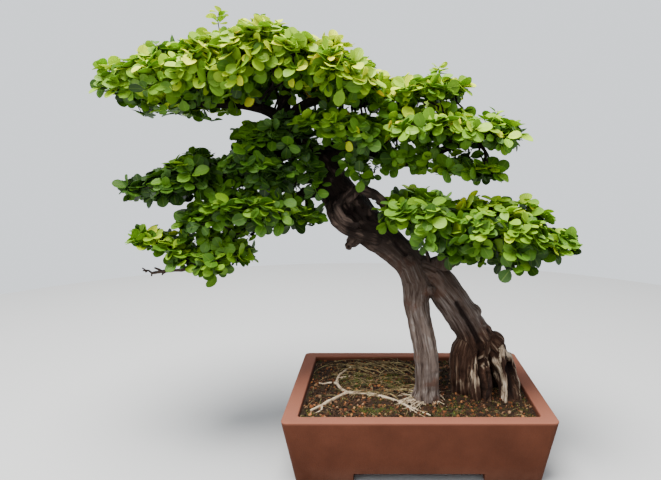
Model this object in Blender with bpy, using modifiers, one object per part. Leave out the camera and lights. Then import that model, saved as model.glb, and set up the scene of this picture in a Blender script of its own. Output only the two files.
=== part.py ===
"""A leaning bonsai tree in a shallow rectangular clay pot.

Metres, +Z up, +X to the right as the pot's long front is seen. The pot stands on z = 0 and the
origin lies under the middle of the whole outline. While it is built, everything lies in the pot's
own frame, with the pot's centre on the Z axis, and one empty then carries it to the origin.
"""

import math

import bmesh
import bpy
from mathutils import Vector

# The pot.
POT_LENGTH = 0.400
POT_DEPTH = 0.300
POT_HEIGHT = 0.100
RIM_WIDTH = 0.0224
RIM_CHAMFER = 0.0015
WALL_TAPER = 0.017  # how far each wall leans in from the rim to the table
WALL_AT_FLOOR = 0.012
CORNER_RADIUS = 0.010
CAVITY_CORNER_RADIUS = 0.006
FLOOR_THICKNESS = 0.010
FOOT_HEIGHT = 0.014
FOOT_WIDTH = 0.020
FRONT_NOTCH = 0.193  # the cut-away between the feet, along the front and the back
SIDE_NOTCH = 0.120
DRAIN_HOLE_RADIUS = 0.012
DRAIN_HOLE_SPACING = 0.180

# The drain screens and their wires.
SCREEN_THICKNESS = 0.0015
SCREEN_PITCH = 0.007
SCREEN_OPENING = 0.0052
SCREEN_OPENINGS = 4  # along each side
WIRE_RADIUS = 0.0008
WIRE_LEGS_APART = 1  # in screen pitches, so that each leg goes through an opening
WIRE_FOOT = 0.012  # how far each leg's end is bent out under the floor

# What the pot holds.
SOIL_DROP = 0.007  # from the rim down to the soil
MOSS_HEIGHT = 0.005
ROOT_CLEARANCE = 0.0085  # from the deadwood foot to the pot's wall

# The tree. Its points are millimetres from the spot on the soil midway between its two feet, on a
# tree of POINTS_HEIGHT, and TREE_HEIGHT sets its real size.
TREE_HEIGHT = 0.595
POINTS_HEIGHT = 595.0
ROOT_SPREAD = 90.0  # from that spot to the right edge of the deadwood foot
LIVE_LEG_X = -65.0

GAP = 0.0003  # between pieces that touch
WOOD_GAP = 0.0007  # round wood, whose faceted skin is offset a little less than this
SOIL_GAP = 0.002  # between the soil and the roots, where two thinned skins face each other
LEAF_GAP = 0.003  # between leaf masses, whose leaves only brush each other
WOOD_VOXEL = 0.0055
WOOD_SMOOTHING = 4
LEAF_VOXEL = 0.011
ROOT_VOXEL = 0.0016

FLOOR_TOP = FOOT_HEIGHT + FLOOR_THICKNESS
SOIL_TOP = POT_HEIGHT - SOIL_DROP
TREE_SCALE = TREE_HEIGHT / POINTS_HEIGHT

# Wood: (x, y, z, radius) along each limb.
LIVE_LEG_TO_LEADER = [
    (-65, -50, -22, 21),
    (-62, -48, 20, 19),
    (-64, -42, 73, 20),
    (-72, -31, 115, 19.5),
    (-79, -18, 150, 21),
    (-78, -8, 182, 26),
    (-88, 0, 207, 26),
    (-114, 4, 234, 25),
    (-152, 10, 264, 29),
    (-186, 14, 294, 36),
    (-211, 18, 330, 28),
    (-231, 22, 366, 24),
    (-263, 24, 397, 18),
    (-287, 26, 431, 14.5),
    (-291, 28, 464, 11),
    (-283, 30, 496, 8),
]
RIGHT_LEG = [(-88, 0, 204, 24), (-50, -2, 188, 27), (-20, -8, 150, 27), (4, -12, 114, 27), (20, -14, 84, 28)]
DEADWOOD_STRANDS = [
    [(10, -14, 92, 21), (0, -10, 62, 21), (2, -8, 30, 21), (6, -6, -18, 23)],
    [(24, -18, 88, 16), (18, -34, 50, 15), (22, -46, 15, 17), (26, -50, -18, 19)],
    [(28, -14, 92, 19), (50, -16, 68, 20), (64, -24, 38, 17), (70, -38, 10, 18), (70, -50, -18, 19)],
    [(38, -6, 82, 18), (58, 6, 50, 17), (66, 14, 15, 18), (68, 16, -18, 20)],
    [(16, 0, 90, 18), (20, 16, 50, 18), (28, 30, 10, 19), (30, 34, -18, 21)],
]
# Under the soil the deadwood strands run together, and rotten heartwood closes the hollow between them.
ROOT_CROWN = [(36, -12, -13, 50, 46, 11), (38, -8, -2, 32, 30, 10)]
BURL_LOOP = [(-186, -8, 316, 9), (-170, -22, 327, 8.5), (-148, -24, 320, 9), (-130, -14, 296, 10)]
CUT_STUB = [(-160, 8, 268, 15), (-178, -4, 250, 13), (-184, -9, 243, 10)]

BRANCHES = {
    "branch_crown_left": [
        (-290, 26, 440, 9.5),
        (-324, 14, 457, 8),
        (-363, 0, 462, 7),
        (-407, -10, 462, 6),
        (-461, -10, 464, 4.5),
        (-516, -5, 470, 3),
    ],
    "branch_crown_right": [
        (-288, 26, 438, 9.5),
        (-257, 18, 463, 8),
        (-219, 10, 472, 6.5),
        (-181, 0, 480, 5),
        (-150, -2, 486, 3.5),
    ],
    "branch_right_upper": [
        (-231, 20, 372, 14),
        (-193, 10, 391, 11),
        (-153, 0, 388, 10),
        (-114, -10, 376, 9),
        (-83, -15, 374, 8),
        (-44, -15, 390, 6),
        (-6, -15, 405, 4.5),
        (33, -10, 416, 3),
    ],
    "branch_right_lower": [
        (-62, 0, 196, 20),
        (-33, -10, 213, 15),
        (-3, -20, 231, 11),
        (36, -30, 241, 8),
        (80, -35, 248, 6),
        (123, -35, 253, 4),
    ],
    "branch_left_upper": [
        (-265, 24, 396, 13),
        (-300, 10, 381, 10.5),
        (-335, 0, 368, 8.5),
        (-380, -10, 355, 7),
        (-428, -10, 341, 5.5),
        (-484, -10, 325, 4),
    ],
    "branch_left_lower": [
        (-210, 18, 320, 14),
        (-241, 0, 326, 10),
        (-275, -20, 313, 8),
        (-320, -30, 293, 7),
        (-365, -40, 259, 6),
        (-404, -40, 222, 4.5),
        (-440, -40, 208, 3.2),
        (-468, -36, 205, 2.6),
        (-495, -35, 201, 2),
    ],
    "branch_back_upper": [
        (-240, 22, 374, 12),
        (-226, 62, 392, 9),
        (-205, 98, 408, 7),
        (-185, 128, 418, 5),
        (-172, 150, 424, 3.5),
    ],
    "branch_back_left": [
        (-262, 26, 398, 10),
        (-276, 62, 398, 8),
        (-300, 92, 402, 6),
        (-335, 115, 408, 4),
    ],
    "branch_back_right": [
        (-160, 18, 272, 12),
        (-126, 54, 282, 8.5),
        (-88, 82, 284, 6.5),
        (-44, 106, 288, 4.5),
    ],
}

# Leaf masses: the rounded clumps (x, y, z, half length, half depth, half height) that each is
# grown together from.
LEAF_MASSES = {
    "leaves_crown_tip": [
        (-550, -10, 475, 25, 45, 25),
        (-515, -5, 490, 35, 70, 38),
        (-480, 0, 500, 36, 90, 52),
    ],
    "leaves_crown_left": [(-430, 0, 499, 40, 110, 60), (-385, 5, 510, 40, 120, 65)],
    "leaves_crown_top": [
        (-340, 10, 522, 38, 125, 68),
        (-298, 10, 534, 38, 130, 60),
        (-258, 10, 522, 36, 125, 56),
    ],
    "leaves_crown_right": [
        (-215, 10, 512, 36, 120, 52),
        (-180, 8, 500, 36, 105, 50),
        (-148, 0, 482, 26, 70, 32),
    ],
    "leaves_shoulder": [
        (-235, -32, 432, 30, 48, 28),
        (-195, -28, 428, 36, 60, 34),
        (-168, -14, 386, 20, 34, 18),
        (-155, -22, 418, 28, 60, 35),
    ],
    "leaves_left_inner": [
        (-330, 0, 412, 34, 50, 30),
        (-345, -12, 374, 38, 60, 32),
        (-296, -26, 352, 34, 45, 26),
    ],
    "leaves_left_upper": [
        (-505, -10, 330, 28, 50, 28),
        (-465, -10, 340, 35, 70, 38),
        (-420, 0, 352, 36, 80, 44),
    ],
    "leaves_left_hang": [
        (-412, -34, 288, 30, 45, 24),
        (-375, -34, 298, 42, 60, 30),
        (-330, -34, 305, 36, 60, 32),
        (-288, -30, 292, 30, 50, 28),
        (-245, -26, 290, 24, 35, 20),
    ],
    "leaves_left_low": [
        (-495, -34, 262, 22, 35, 18),
        (-458, -36, 248, 28, 40, 22),
        (-425, -40, 224, 30, 45, 22),
        (-385, -42, 228, 30, 55, 28),
        (-352, -42, 232, 22, 40, 22),
    ],
    "leaves_right_tier": [
        (-95, 0, 480, 34, 55, 28),
        (-48, 0, 484, 32, 60, 28),
        (-15, 0, 486, 20, 35, 18),
    ],
    "leaves_right_upper": [
        (-105, 0, 424, 34, 75, 34),
        (-58, -8, 424, 36, 85, 36),
        (-10, -10, 422, 36, 75, 38),
        (32, -10, 414, 34, 55, 34),
        (66, -10, 415, 22, 35, 20),
    ],
    "leaves_right_hang": [(30, -12, 358, 24, 38, 22), (-2, -22, 364, 24, 38, 18), (-30, -28, 366, 22, 36, 16)],
    "leaves_low_inner": [
        (-105, -52, 298, 30, 46, 32),
        (-70, -50, 292, 34, 56, 42),
        (-42, -46, 272, 28, 56, 42),
        (-16, -50, 244, 24, 44, 26),
    ],
    "leaves_low_right": [
        (6, -40, 272, 36, 75, 52),
        (50, -40, 264, 36, 80, 66),
        (88, -40, 262, 34, 65, 60),
        (126, -40, 252, 26, 45, 30),
        (154, -40, 254, 16, 26, 16),
    ],
    "leaves_back_upper": [(-205, 118, 432, 46, 46, 26), (-160, 130, 430, 44, 46, 28)],
    "leaves_back_left": [(-300, 100, 420, 34, 42, 24), (-335, 112, 418, 32, 36, 22)],
    "leaves_back_right": [(-85, 92, 304, 38, 38, 24), (-45, 102, 302, 34, 38, 24)],
}

# Soil cover: (across, back) places each point between the left wall (0) and the live leg (1), and
# between the front wall (-1) and the back wall (1).
SURFACE_ROOT = [(0.97, -0.86, 2.6), (0.85, -0.67, 3.2), (0.67, -0.45, 3.6), (0.51, -0.29, 4), (0.315, -0.235, 4.2)]
SURFACE_ROOT_FORKS = [
    [(0.34, -0.24, 4), (0.26, 0.0, 3.4), (0.24, 0.30, 3), (0.29, 0.55, 2.6), (0.34, 0.72, 2.2)],
    [(0.34, -0.235, 4), (0.22, -0.47, 3.8), (0.14, -0.62, 3.3), (0.075, -0.74, 2.6)],
]
MOSS_PATCHES = {
    "moss_left": (0.42, 0.22, 0.20, 0.30),
    "moss_front": (0.62, -0.72, 0.24, 0.14),
    "moss_middle": (0.74, 0.16, 0.15, 0.34),
    "moss_right": (1.20, -0.74, 0.14, 0.14),
}

COLOURS = {
    "clay": ((0.24, 0.085, 0.055, 1), 0.85),
    "plastic mesh": ((0.02, 0.02, 0.02, 1), 0.5),
    "soil": ((0.05, 0.03, 0.018, 1), 0.95),
    "moss": ((0.09, 0.12, 0.02, 1), 0.95),
    "pale root": ((0.45, 0.36, 0.25, 1), 0.8),
    "bark": ((0.16, 0.12, 0.10, 1), 0.9),
    "leaf": ((0.16, 0.34, 0.03, 1), 0.55),
}
WIRE_COLOUR = (0.55, 0.55, 0.57, 1)


def clear_scene():
    for obj in list(bpy.data.objects):
        bpy.data.objects.remove(obj)


def new_collection(name):
    collection = bpy.data.collections.new(name)
    bpy.context.scene.collection.children.link(collection)
    return collection


def new_material(name, colour, roughness, metallic=0.0):
    material = bpy.data.materials.new(name)
    material.use_nodes = True
    shader = material.node_tree.nodes["Principled BSDF"]
    shader.inputs["Base Color"].default_value = colour
    shader.inputs["Roughness"].default_value = roughness
    shader.inputs["Metallic"].default_value = metallic
    return material


clear_scene()
PARTS = new_collection("bonsai_tree_in_pot")
CUTTERS = new_collection("cutters")
MATERIALS = {name: new_material(name, *values) for name, values in COLOURS.items()}
MATERIALS["aluminium wire"] = new_material("aluminium wire", WIRE_COLOUR, 0.35, 1.0)


def add_part(name, mesh, material):
    obj = bpy.data.objects.new(name, mesh)
    PARTS.objects.link(obj)
    mesh.materials.clear()
    mesh.materials.append(MATERIALS[material])
    return obj


def add_cutter(name, mesh):
    obj = bpy.data.objects.new(name, mesh)
    CUTTERS.objects.link(obj)
    obj.hide_render = True
    obj.display_type = "WIRE"
    return obj


def cut(obj, cutters):
    """Cuts each cutter from the object, or leaves out one that lies wholly beside it."""
    for cutter in cutters:
        if not boxes_meet(obj.data, cutter.data):
            continue
        boolean = obj.modifiers.new("clear of " + cutter.name, "BOOLEAN")
        boolean.operation = "DIFFERENCE"
        boolean.solver = "EXACT"
        boolean.use_self = True
        boolean.object = cutter


def boxes_meet(first, second):
    boxes = []
    for mesh in (first, second):
        points = [v.co for v in mesh.vertices]
        boxes.append([(min(p[i] for p in points), max(p[i] for p in points)) for i in range(3)])
    return all(a[0] < b[1] and b[0] < a[1] for a, b in zip(*boxes))


def evaluated_mesh(obj):
    """The object's mesh with its modifiers applied. The object itself is removed."""
    bpy.context.view_layer.update()
    graph = bpy.context.evaluated_depsgraph_get()
    mesh = bpy.data.meshes.new_from_object(obj.evaluated_get(graph))
    bpy.data.objects.remove(obj)
    return mesh


def joined(meshes):
    bm = bmesh.new()
    for mesh in meshes:
        bm.from_mesh(mesh)
    whole = bpy.data.meshes.new("joined")
    bm.to_mesh(whole)
    bm.free()
    return whole


# ---------------------------------------------------------------- boxes and the pot


def tapered_box(name, bottom, bottom_half, top, top_half, corner_radius=0.0, top_chamfer=0.0):
    """A box whose half sides run straight from bottom_half to top_half, with rounded corners."""
    bm = bmesh.new()
    bmesh.ops.create_cube(bm, size=2.0)
    for vert in bm.verts:
        half, height = (top_half, top) if vert.co.z > 0 else (bottom_half, bottom)
        vert.co = Vector((vert.co.x * half[0], vert.co.y * half[1], height))
    if corner_radius:
        upright = [e for e in bm.edges if abs(e.verts[0].co.z - e.verts[1].co.z) > (top - bottom) / 2]
        bmesh.ops.bevel(
            bm, geom=upright, offset=corner_radius, affect="EDGES", segments=4, profile=0.5, material=-1
        )
    if top_chamfer:
        around = [e for e in bm.edges if all(abs(v.co.z - top) < 1e-6 for v in e.verts)]
        bmesh.ops.bevel(
            bm, geom=around, offset=top_chamfer, affect="EDGES", segments=1, profile=0.5, material=-1
        )
    bmesh.ops.recalc_face_normals(bm, faces=bm.faces)
    mesh = bpy.data.meshes.new(name)
    bm.to_mesh(mesh)
    bm.free()
    return mesh


def straight_box(name, low, high):
    middle = [(a + b) / 2 for a, b in zip(low, high)]
    half = ((high[0] - low[0]) / 2, (high[1] - low[1]) / 2)
    mesh = tapered_box(name, low[2], half, high[2], half)
    mesh.vertices.foreach_set(
        "co", [c for v in mesh.vertices for c in (v.co.x + middle[0], v.co.y + middle[1], v.co.z)]
    )
    return mesh


def cylinder(name, radius, centre, low, high, segments=24):
    bm = bmesh.new()
    bmesh.ops.create_cone(
        bm, cap_ends=True, segments=segments, radius1=radius, radius2=radius, depth=high - low
    )
    bmesh.ops.translate(bm, vec=(centre[0], centre[1], (low + high) / 2), verts=bm.verts)
    mesh = bpy.data.meshes.new(name)
    bm.to_mesh(mesh)
    bm.free()
    return mesh


def outer_half(z):
    inset = WALL_TAPER * (1 - z / (POT_HEIGHT - RIM_CHAMFER))
    return POT_LENGTH / 2 - inset, POT_DEPTH / 2 - inset


def wall_thickness(z):
    share = (z - FLOOR_TOP) / (POT_HEIGHT - FLOOR_TOP)
    return WALL_AT_FLOOR + (RIM_WIDTH - WALL_AT_FLOOR) * share


def inner_half(z, clearance=0.0):
    inset = wall_thickness(z) + clearance
    return outer_half(z)[0] - inset, outer_half(z)[1] - inset


def drain_hole_centres():
    return {"left": (-DRAIN_HOLE_SPACING / 2, 0.0), "right": (DRAIN_HOLE_SPACING / 2, 0.0)}


def make_pot():
    beyond = 0.010
    foot = outer_half(0.0)
    pot = add_part(
        "pot",
        tapered_box("pot", 0.0, foot, POT_HEIGHT, outer_half(POT_HEIGHT), CORNER_RADIUS, RIM_CHAMFER),
        "clay",
    )
    over_rim = POT_HEIGHT + beyond
    cutters = [
        tapered_box(
            "cavity", FLOOR_TOP, inner_half(FLOOR_TOP), over_rim, inner_half(over_rim), CAVITY_CORNER_RADIUS
        ),
        straight_box(
            "underside",
            (FOOT_WIDTH - foot[0], FOOT_WIDTH - foot[1], -beyond),
            (foot[0] - FOOT_WIDTH, foot[1] - FOOT_WIDTH, FOOT_HEIGHT),
        ),
        straight_box(
            "front_notch", (-FRONT_NOTCH / 2, -POT_DEPTH, -beyond), (FRONT_NOTCH / 2, POT_DEPTH, FOOT_HEIGHT)
        ),
        straight_box(
            "side_notch", (-POT_LENGTH, -SIDE_NOTCH / 2, -beyond), (POT_LENGTH, SIDE_NOTCH / 2, FOOT_HEIGHT)
        ),
    ]
    for side, centre in drain_hole_centres().items():
        cutters.append(cylinder("drain_hole_" + side, DRAIN_HOLE_RADIUS, centre, -beyond, FLOOR_TOP + beyond))
    cut(pot, [add_cutter(mesh.name, mesh) for mesh in cutters])
    return pot


# ---------------------------------------------------------------- tubes


def tube(name, points, radii, around=2, along=3, grow=0.0):
    """A closed mesh tube through the points. With grow it is that much fatter and longer."""
    points = [Vector(p) for p in points]
    if grow:
        points[0] = points[0] + (points[0] - points[1]).normalized() * grow
        points[-1] = points[-1] + (points[-1] - points[-2]).normalized() * grow
    data = bpy.data.curves.new(name, "CURVE")
    data.dimensions = "3D"
    data.bevel_depth = 1.0
    data.bevel_resolution = around
    data.resolution_u = along
    data.use_fill_caps = True
    spline = data.splines.new("BEZIER")
    spline.radius_interpolation = "CARDINAL"
    spline.bezier_points.add(len(points) - 1)
    for knot, point, radius in zip(spline.bezier_points, points, radii):
        knot.co = point
        knot.radius = radius + grow
        knot.handle_left_type = knot.handle_right_type = "AUTO"
    curve = bpy.data.objects.new(name, data)
    CUTTERS.objects.link(curve)
    mesh = evaluated_mesh(curve)
    bm = bmesh.new()
    bm.from_mesh(mesh)
    bmesh.ops.remove_doubles(bm, verts=bm.verts, dist=1e-6)
    bmesh.ops.recalc_face_normals(bm, faces=bm.faces)
    bm.to_mesh(mesh)
    bm.free()
    mesh.shade_smooth()
    return mesh


def grown_together(name, meshes, voxel, triangles, smoothing=3):
    """One closed skin over overlapping closed meshes, thinned to about that many triangles."""
    obj = bpy.data.objects.new(name, joined(meshes))
    CUTTERS.objects.link(obj)
    remesh = obj.modifiers.new("one skin", "REMESH")
    remesh.mode = "VOXEL"
    remesh.voxel_size = voxel
    smooth = obj.modifiers.new("even", "SMOOTH")
    smooth.factor = 0.5
    smooth.iterations = smoothing
    mesh = evaluated_mesh(obj)
    mesh.calc_loop_triangles()
    obj = bpy.data.objects.new(name, mesh)
    CUTTERS.objects.link(obj)
    decimate = obj.modifiers.new("thin out", "DECIMATE")
    decimate.ratio = min(1.0, triangles / len(mesh.loop_triangles))
    mesh = evaluated_mesh(obj)
    mesh.name = name
    mesh.shade_smooth()
    return mesh


def room_around(name, mesh, clearance):
    """A cutter that stands the clearance proud of a closed mesh."""
    cutter = add_cutter("room_for_" + name, mesh.copy())
    displace = cutter.modifiers.new("clearance", "DISPLACE")
    displace.direction = "NORMAL"
    displace.mid_level = 0.0
    displace.strength = clearance
    return cutter


# ---------------------------------------------------------------- screens and wires


def make_screen(side, centre):
    half = SCREEN_PITCH * SCREEN_OPENINGS / 2 + (SCREEN_PITCH - SCREEN_OPENING) / 2
    low = FLOOR_TOP + GAP
    screen = add_part(
        "drain_screen_" + side,
        straight_box(
            "drain_screen_" + side,
            (centre[0] - half, centre[1] - half, low),
            (centre[0] + half, centre[1] + half, low + SCREEN_THICKNESS),
        ),
        "plastic mesh",
    )
    boxes = []
    for i in range(SCREEN_OPENINGS):
        for j in range(SCREEN_OPENINGS):
            x = centre[0] + (i - (SCREEN_OPENINGS - 1) / 2) * SCREEN_PITCH
            y = centre[1] + (j - (SCREEN_OPENINGS - 1) / 2) * SCREEN_PITCH
            reach = SCREEN_OPENING / 2
            boxes.append(
                straight_box(
                    "opening", (x - reach, y - reach, low - 0.001), (x + reach, y + reach, low + 0.003)
                )
            )
    cut(screen, [add_cutter("screen_openings_" + side, joined(boxes))])
    return half


def make_wire(side, centre):
    """A staple over the screen. Its legs go down through the drain hole and bend out below."""
    over = FLOOR_TOP + SCREEN_THICKNESS + 2 * GAP + WIRE_RADIUS
    under = FOOT_HEIGHT - GAP - WIRE_RADIUS
    leg = WIRE_LEGS_APART * SCREEN_PITCH / 2
    y = centre[1] + SCREEN_PITCH / 2
    bend = 2 * WIRE_RADIUS
    path = [(-leg - WIRE_FOOT, under), (-leg - bend, under), (-leg, under + bend), (-leg, over - bend)]
    path += [(-leg + bend, over)]
    path += [(-x, z) for x, z in reversed(path)]
    points = [(centre[0] + x, y, z) for x, z in path]
    data = bpy.data.curves.new("screen_wire_" + side, "CURVE")
    data.dimensions = "3D"
    data.bevel_depth = WIRE_RADIUS
    data.bevel_resolution = 2
    data.use_fill_caps = True
    spline = data.splines.new("POLY")
    spline.points.add(len(points) - 1)
    for knot, point in zip(spline.points, points):
        knot.co = (*point, 1.0)
    wire = bpy.data.objects.new("screen_wire_" + side, data)
    data.materials.append(MATERIALS["aluminium wire"])
    PARTS.objects.link(wire)
    return over + WIRE_RADIUS


# ---------------------------------------------------------------- the tree


def root_spot():
    """Where the tree stands: its deadwood foot keeps ROOT_CLEARANCE to the right wall."""
    x = inner_half(SOIL_TOP)[0] - ROOT_CLEARANCE - ROOT_SPREAD * TREE_SCALE
    return Vector((x, 0.0, SOIL_TOP))


def in_pot(point):
    return root_spot() + Vector(point[:3]) * TREE_SCALE


def limb(name, points, grow=0.0, along=3):
    radii = [p[3] * TREE_SCALE for p in points]
    return tube(name, [in_pot(p) for p in points], radii, along=along, grow=grow)


def make_trunk():
    limbs = [LIVE_LEG_TO_LEADER, RIGHT_LEG, BURL_LOOP, CUT_STUB] + DEADWOOD_STRANDS
    meshes = [limb("limb", points, along=6) for points in limbs]
    meshes += [clump(in_pot(lump), [h * TREE_SCALE for h in lump[3:]]) for lump in ROOT_CROWN]
    mesh = grown_together("trunk", meshes, WOOD_VOXEL, 2300, WOOD_SMOOTHING)
    add_part("trunk", mesh, "bark")
    return room_around("trunk", mesh, WOOD_GAP)


def make_branches(trunk_room):
    rooms = [trunk_room]
    for name, points in BRANCHES.items():
        branch = add_part(name, limb(name, points, along=2), "bark")
        cut(branch, rooms)
        rooms.append(add_cutter("room_for_" + name, limb(name, points, grow=WOOD_GAP, along=2)))
    return rooms


def clump(centre, half):
    """A rounded lump, half as long, deep and high as given."""
    bm = bmesh.new()
    bmesh.ops.create_icosphere(bm, subdivisions=3, radius=1.0)
    bmesh.ops.scale(bm, vec=half, verts=bm.verts)
    bmesh.ops.translate(bm, vec=centre, verts=bm.verts)
    mesh = bpy.data.meshes.new("clump")
    bm.to_mesh(mesh)
    bm.free()
    return mesh


def lumps_across(x, y, z, half_length, half_depth, half_height):
    """A deep clump is a row of lumps across the tree, lower and narrower to the front and back."""
    count = 2 * round(half_depth / half_length / 2.4) + 1
    for i in range(count):
        across = (2 * i + 1) / count - 1
        fall = math.sqrt(1 - 0.72 * across * across)
        sway = 0.22 * half_length * math.sin(0.05 * x + 2.3 * i) if across else 0.0
        centre = (x + sway, y + across * half_depth, z - (1 - fall) * half_height * 0.6)
        deep = half_depth / count * (1.35 if count > 1 else 1.0)
        yield clump(in_pot(centre), [h * TREE_SCALE for h in (half_length * 1.04, deep, half_height * fall)])


def make_leaf_masses(wood_rooms):
    rooms = list(wood_rooms)
    for name, clumps in LEAF_MASSES.items():
        meshes = [lump for c in clumps for lump in lumps_across(*c)]
        mesh = grown_together(name, meshes, LEAF_VOXEL, 70 + 60 * len(clumps), smoothing=4)
        mass = add_part(name, mesh, "leaf")
        cut(mass, rooms)
        rooms.append(room_around(name, mesh, LEAF_GAP))


# ---------------------------------------------------------------- what lies in the pot


def on_soil(across, back, height=0.0):
    half = inner_half(SOIL_TOP)
    leg = in_pot((LIVE_LEG_X, 0, 0)).x
    return Vector((-half[0] + across * (leg + half[0]), back * half[1], SOIL_TOP + height))


def lying_root(points):
    radii = [radius / 1000 for _, _, radius in points]
    places = [on_soil(across, back, 0.7 * r) for (across, back, _), r in zip(points, radii)]
    return tube("root", places, radii, along=5)


def make_root_pocket():
    """The room that the two feet and the buried root crown need in the soil."""
    feet = [LIVE_LEG_TO_LEADER[:3]] + DEADWOOD_STRANDS
    meshes = [limb("foot", points, grow=SOIL_GAP, along=6) for points in feet]
    meshes += [clump(in_pot(lump), [h * TREE_SCALE + SOIL_GAP for h in lump[3:]]) for lump in ROOT_CROWN]
    return add_cutter("root_pocket", grown_together("root_pocket", meshes, WOOD_VOXEL, 1600, WOOD_SMOOTHING))


def make_soil(screen_half, wire_top):
    bottom = FLOOR_TOP + GAP
    soil = add_part(
        "soil",
        tapered_box(
            "soil", bottom, inner_half(bottom, GAP), SOIL_TOP, inner_half(SOIL_TOP, GAP), CAVITY_CORNER_RADIUS
        ),
        "soil",
    )
    cutters = [make_root_pocket()]
    for side, (x, y) in drain_hole_centres().items():
        reach = screen_half + GAP
        pocket = straight_box(
            "pocket_" + side, (x - reach, y - reach, 0.0), (x + reach, y + reach, wire_top + GAP)
        )
        cutters.append(add_cutter(pocket.name, pocket))
    cut(soil, cutters)


def soil_room():
    half = inner_half(SOIL_TOP)
    block = straight_box("soil_room", (-half[0], -half[1], 0.0), (half[0], half[1], SOIL_TOP + GAP))
    return add_cutter("soil_room", block)


def make_surface_root(trunk_room, ground):
    meshes = [lying_root(points) for points in [SURFACE_ROOT] + SURFACE_ROOT_FORKS]
    mesh = grown_together("surface_root", meshes, ROOT_VOXEL, 460, smoothing=1)
    root = add_part("surface_root", mesh, "pale root")
    cut(root, [ground, trunk_room])
    return room_around("surface_root", mesh, WOOD_GAP)


def make_moss(rooms, ground):
    half = inner_half(SOIL_TOP)
    for name, (across, back, length, depth) in MOSS_PATCHES.items():
        centre = on_soil(across, back)
        mesh = clump(centre, (length * half[0], depth * half[1], MOSS_HEIGHT))
        mesh = grown_together(name, [mesh], MOSS_HEIGHT / 2, 200, smoothing=0)
        cut(add_part(name, mesh, "moss"), [ground] + rooms)


def centre_everything():
    """One empty carries the pot's frame to the origin under the middle of the outline."""
    bpy.context.view_layer.update()
    corners = [Vector(c) for obj in PARTS.objects for c in obj.bound_box]
    middle = [(min(c[i] for c in corners) + max(c[i] for c in corners)) / 2 for i in range(2)]
    frame = bpy.data.objects.new("pot_frame", None)
    PARTS.objects.link(frame)
    frame.location = (-middle[0], -middle[1], 0.0)
    for obj in list(PARTS.objects) + list(CUTTERS.objects):
        if obj is not frame:
            obj.parent = frame


make_pot()
for side, centre in drain_hole_centres().items():
    screen_half = make_screen(side, centre)
    wire_top = make_wire(side, centre)
trunk_room = make_trunk()
make_soil(screen_half, wire_top)
ground = soil_room()
root_room = make_surface_root(trunk_room, ground)
make_moss([trunk_room, root_room], ground)
wood_rooms = make_branches(trunk_room)
make_leaf_masses(wood_rooms)
centre_everything()
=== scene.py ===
import math
import random

import bmesh
import bpy
import numpy as np
from mathutils import Matrix, Vector, kdtree, noise


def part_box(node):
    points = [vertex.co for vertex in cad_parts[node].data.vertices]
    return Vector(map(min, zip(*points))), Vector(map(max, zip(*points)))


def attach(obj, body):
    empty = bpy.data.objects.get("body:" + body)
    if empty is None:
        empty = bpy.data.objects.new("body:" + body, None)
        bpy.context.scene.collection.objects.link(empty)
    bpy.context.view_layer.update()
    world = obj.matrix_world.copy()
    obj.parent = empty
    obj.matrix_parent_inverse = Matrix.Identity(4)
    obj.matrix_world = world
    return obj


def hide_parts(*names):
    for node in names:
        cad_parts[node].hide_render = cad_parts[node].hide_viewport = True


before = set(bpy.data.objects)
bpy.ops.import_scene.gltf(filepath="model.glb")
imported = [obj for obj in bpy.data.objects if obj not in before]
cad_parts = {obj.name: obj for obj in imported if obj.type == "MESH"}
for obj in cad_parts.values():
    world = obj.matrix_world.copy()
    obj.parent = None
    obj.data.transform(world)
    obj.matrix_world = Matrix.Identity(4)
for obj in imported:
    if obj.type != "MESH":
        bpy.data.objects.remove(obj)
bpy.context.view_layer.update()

# ---------------------------------------------------------------- pot
# One piece of unglazed red-brown clay, pressed in a mould and fired. Its walls lean in to four
# corner feet under a cut-away, and two drain holes go through the floor.
pot_low, pot_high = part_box("pot")
pot_middle = (pot_low + pot_high) / 2
POT_TOP = pot_high.z
POT_TOP_HALF = (0.200, 0.150)
POT_FOOT_HALF = (0.183, 0.133)
POT_CORNER = 0.010
CAVITY_FLOOR = 0.024
CAVITY_FLOOR_HALF = (0.1751, 0.1251)
CAVITY_OVER = 0.110
CAVITY_OVER_HALF = (0.1783, 0.1283)
CAVITY_CORNER = 0.006
FOOT_TALL = 0.014
FOOT_RING = 0.020
FRONT_CUT = 0.193
SIDE_CUT = 0.120
DRAIN_RADIUS = 0.012
DRAIN_OUT = 0.090
DRAIN_CUT_DEEP = 0.06
SOFT_EDGE = 0.0017
RING_CORNER = 0.006
# The cutters start below the feet and end past the walls, so that they leave no skin.
CUT_FROM = -0.01
PAST_WALLS = (0.25, 0.2)


def mesh_from(bm, name):
    mesh = bpy.data.meshes.new(name)
    bm.to_mesh(mesh)
    bm.free()
    return mesh


def new_object(name, data):
    made = bpy.data.objects.new(name, data)
    bpy.context.scene.collection.objects.link(made)
    return made


def show(name, mesh, material, nodes):
    """The finished piece. It rides on the only body and stands for those CAD nodes."""
    mesh.materials.clear()
    mesh.materials.append(material)
    piece = new_object(name, mesh)
    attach(piece, "root")
    if nodes:
        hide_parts(*nodes)


def finished(data, modifiers):
    """The mesh that a mesh or curve becomes after those modifiers, given as (kind, settings)."""
    helper = new_object("helper", data)
    for kind, settings in modifiers:
        modifier = helper.modifiers.new(kind.lower(), kind)
        for key, value in settings.items():
            setattr(modifier, key, value)
    bpy.context.view_layer.update()
    graph = bpy.context.evaluated_depsgraph_get()
    done = bpy.data.meshes.new_from_object(helper.evaluated_get(graph))
    bpy.data.objects.remove(helper)
    return done


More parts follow.
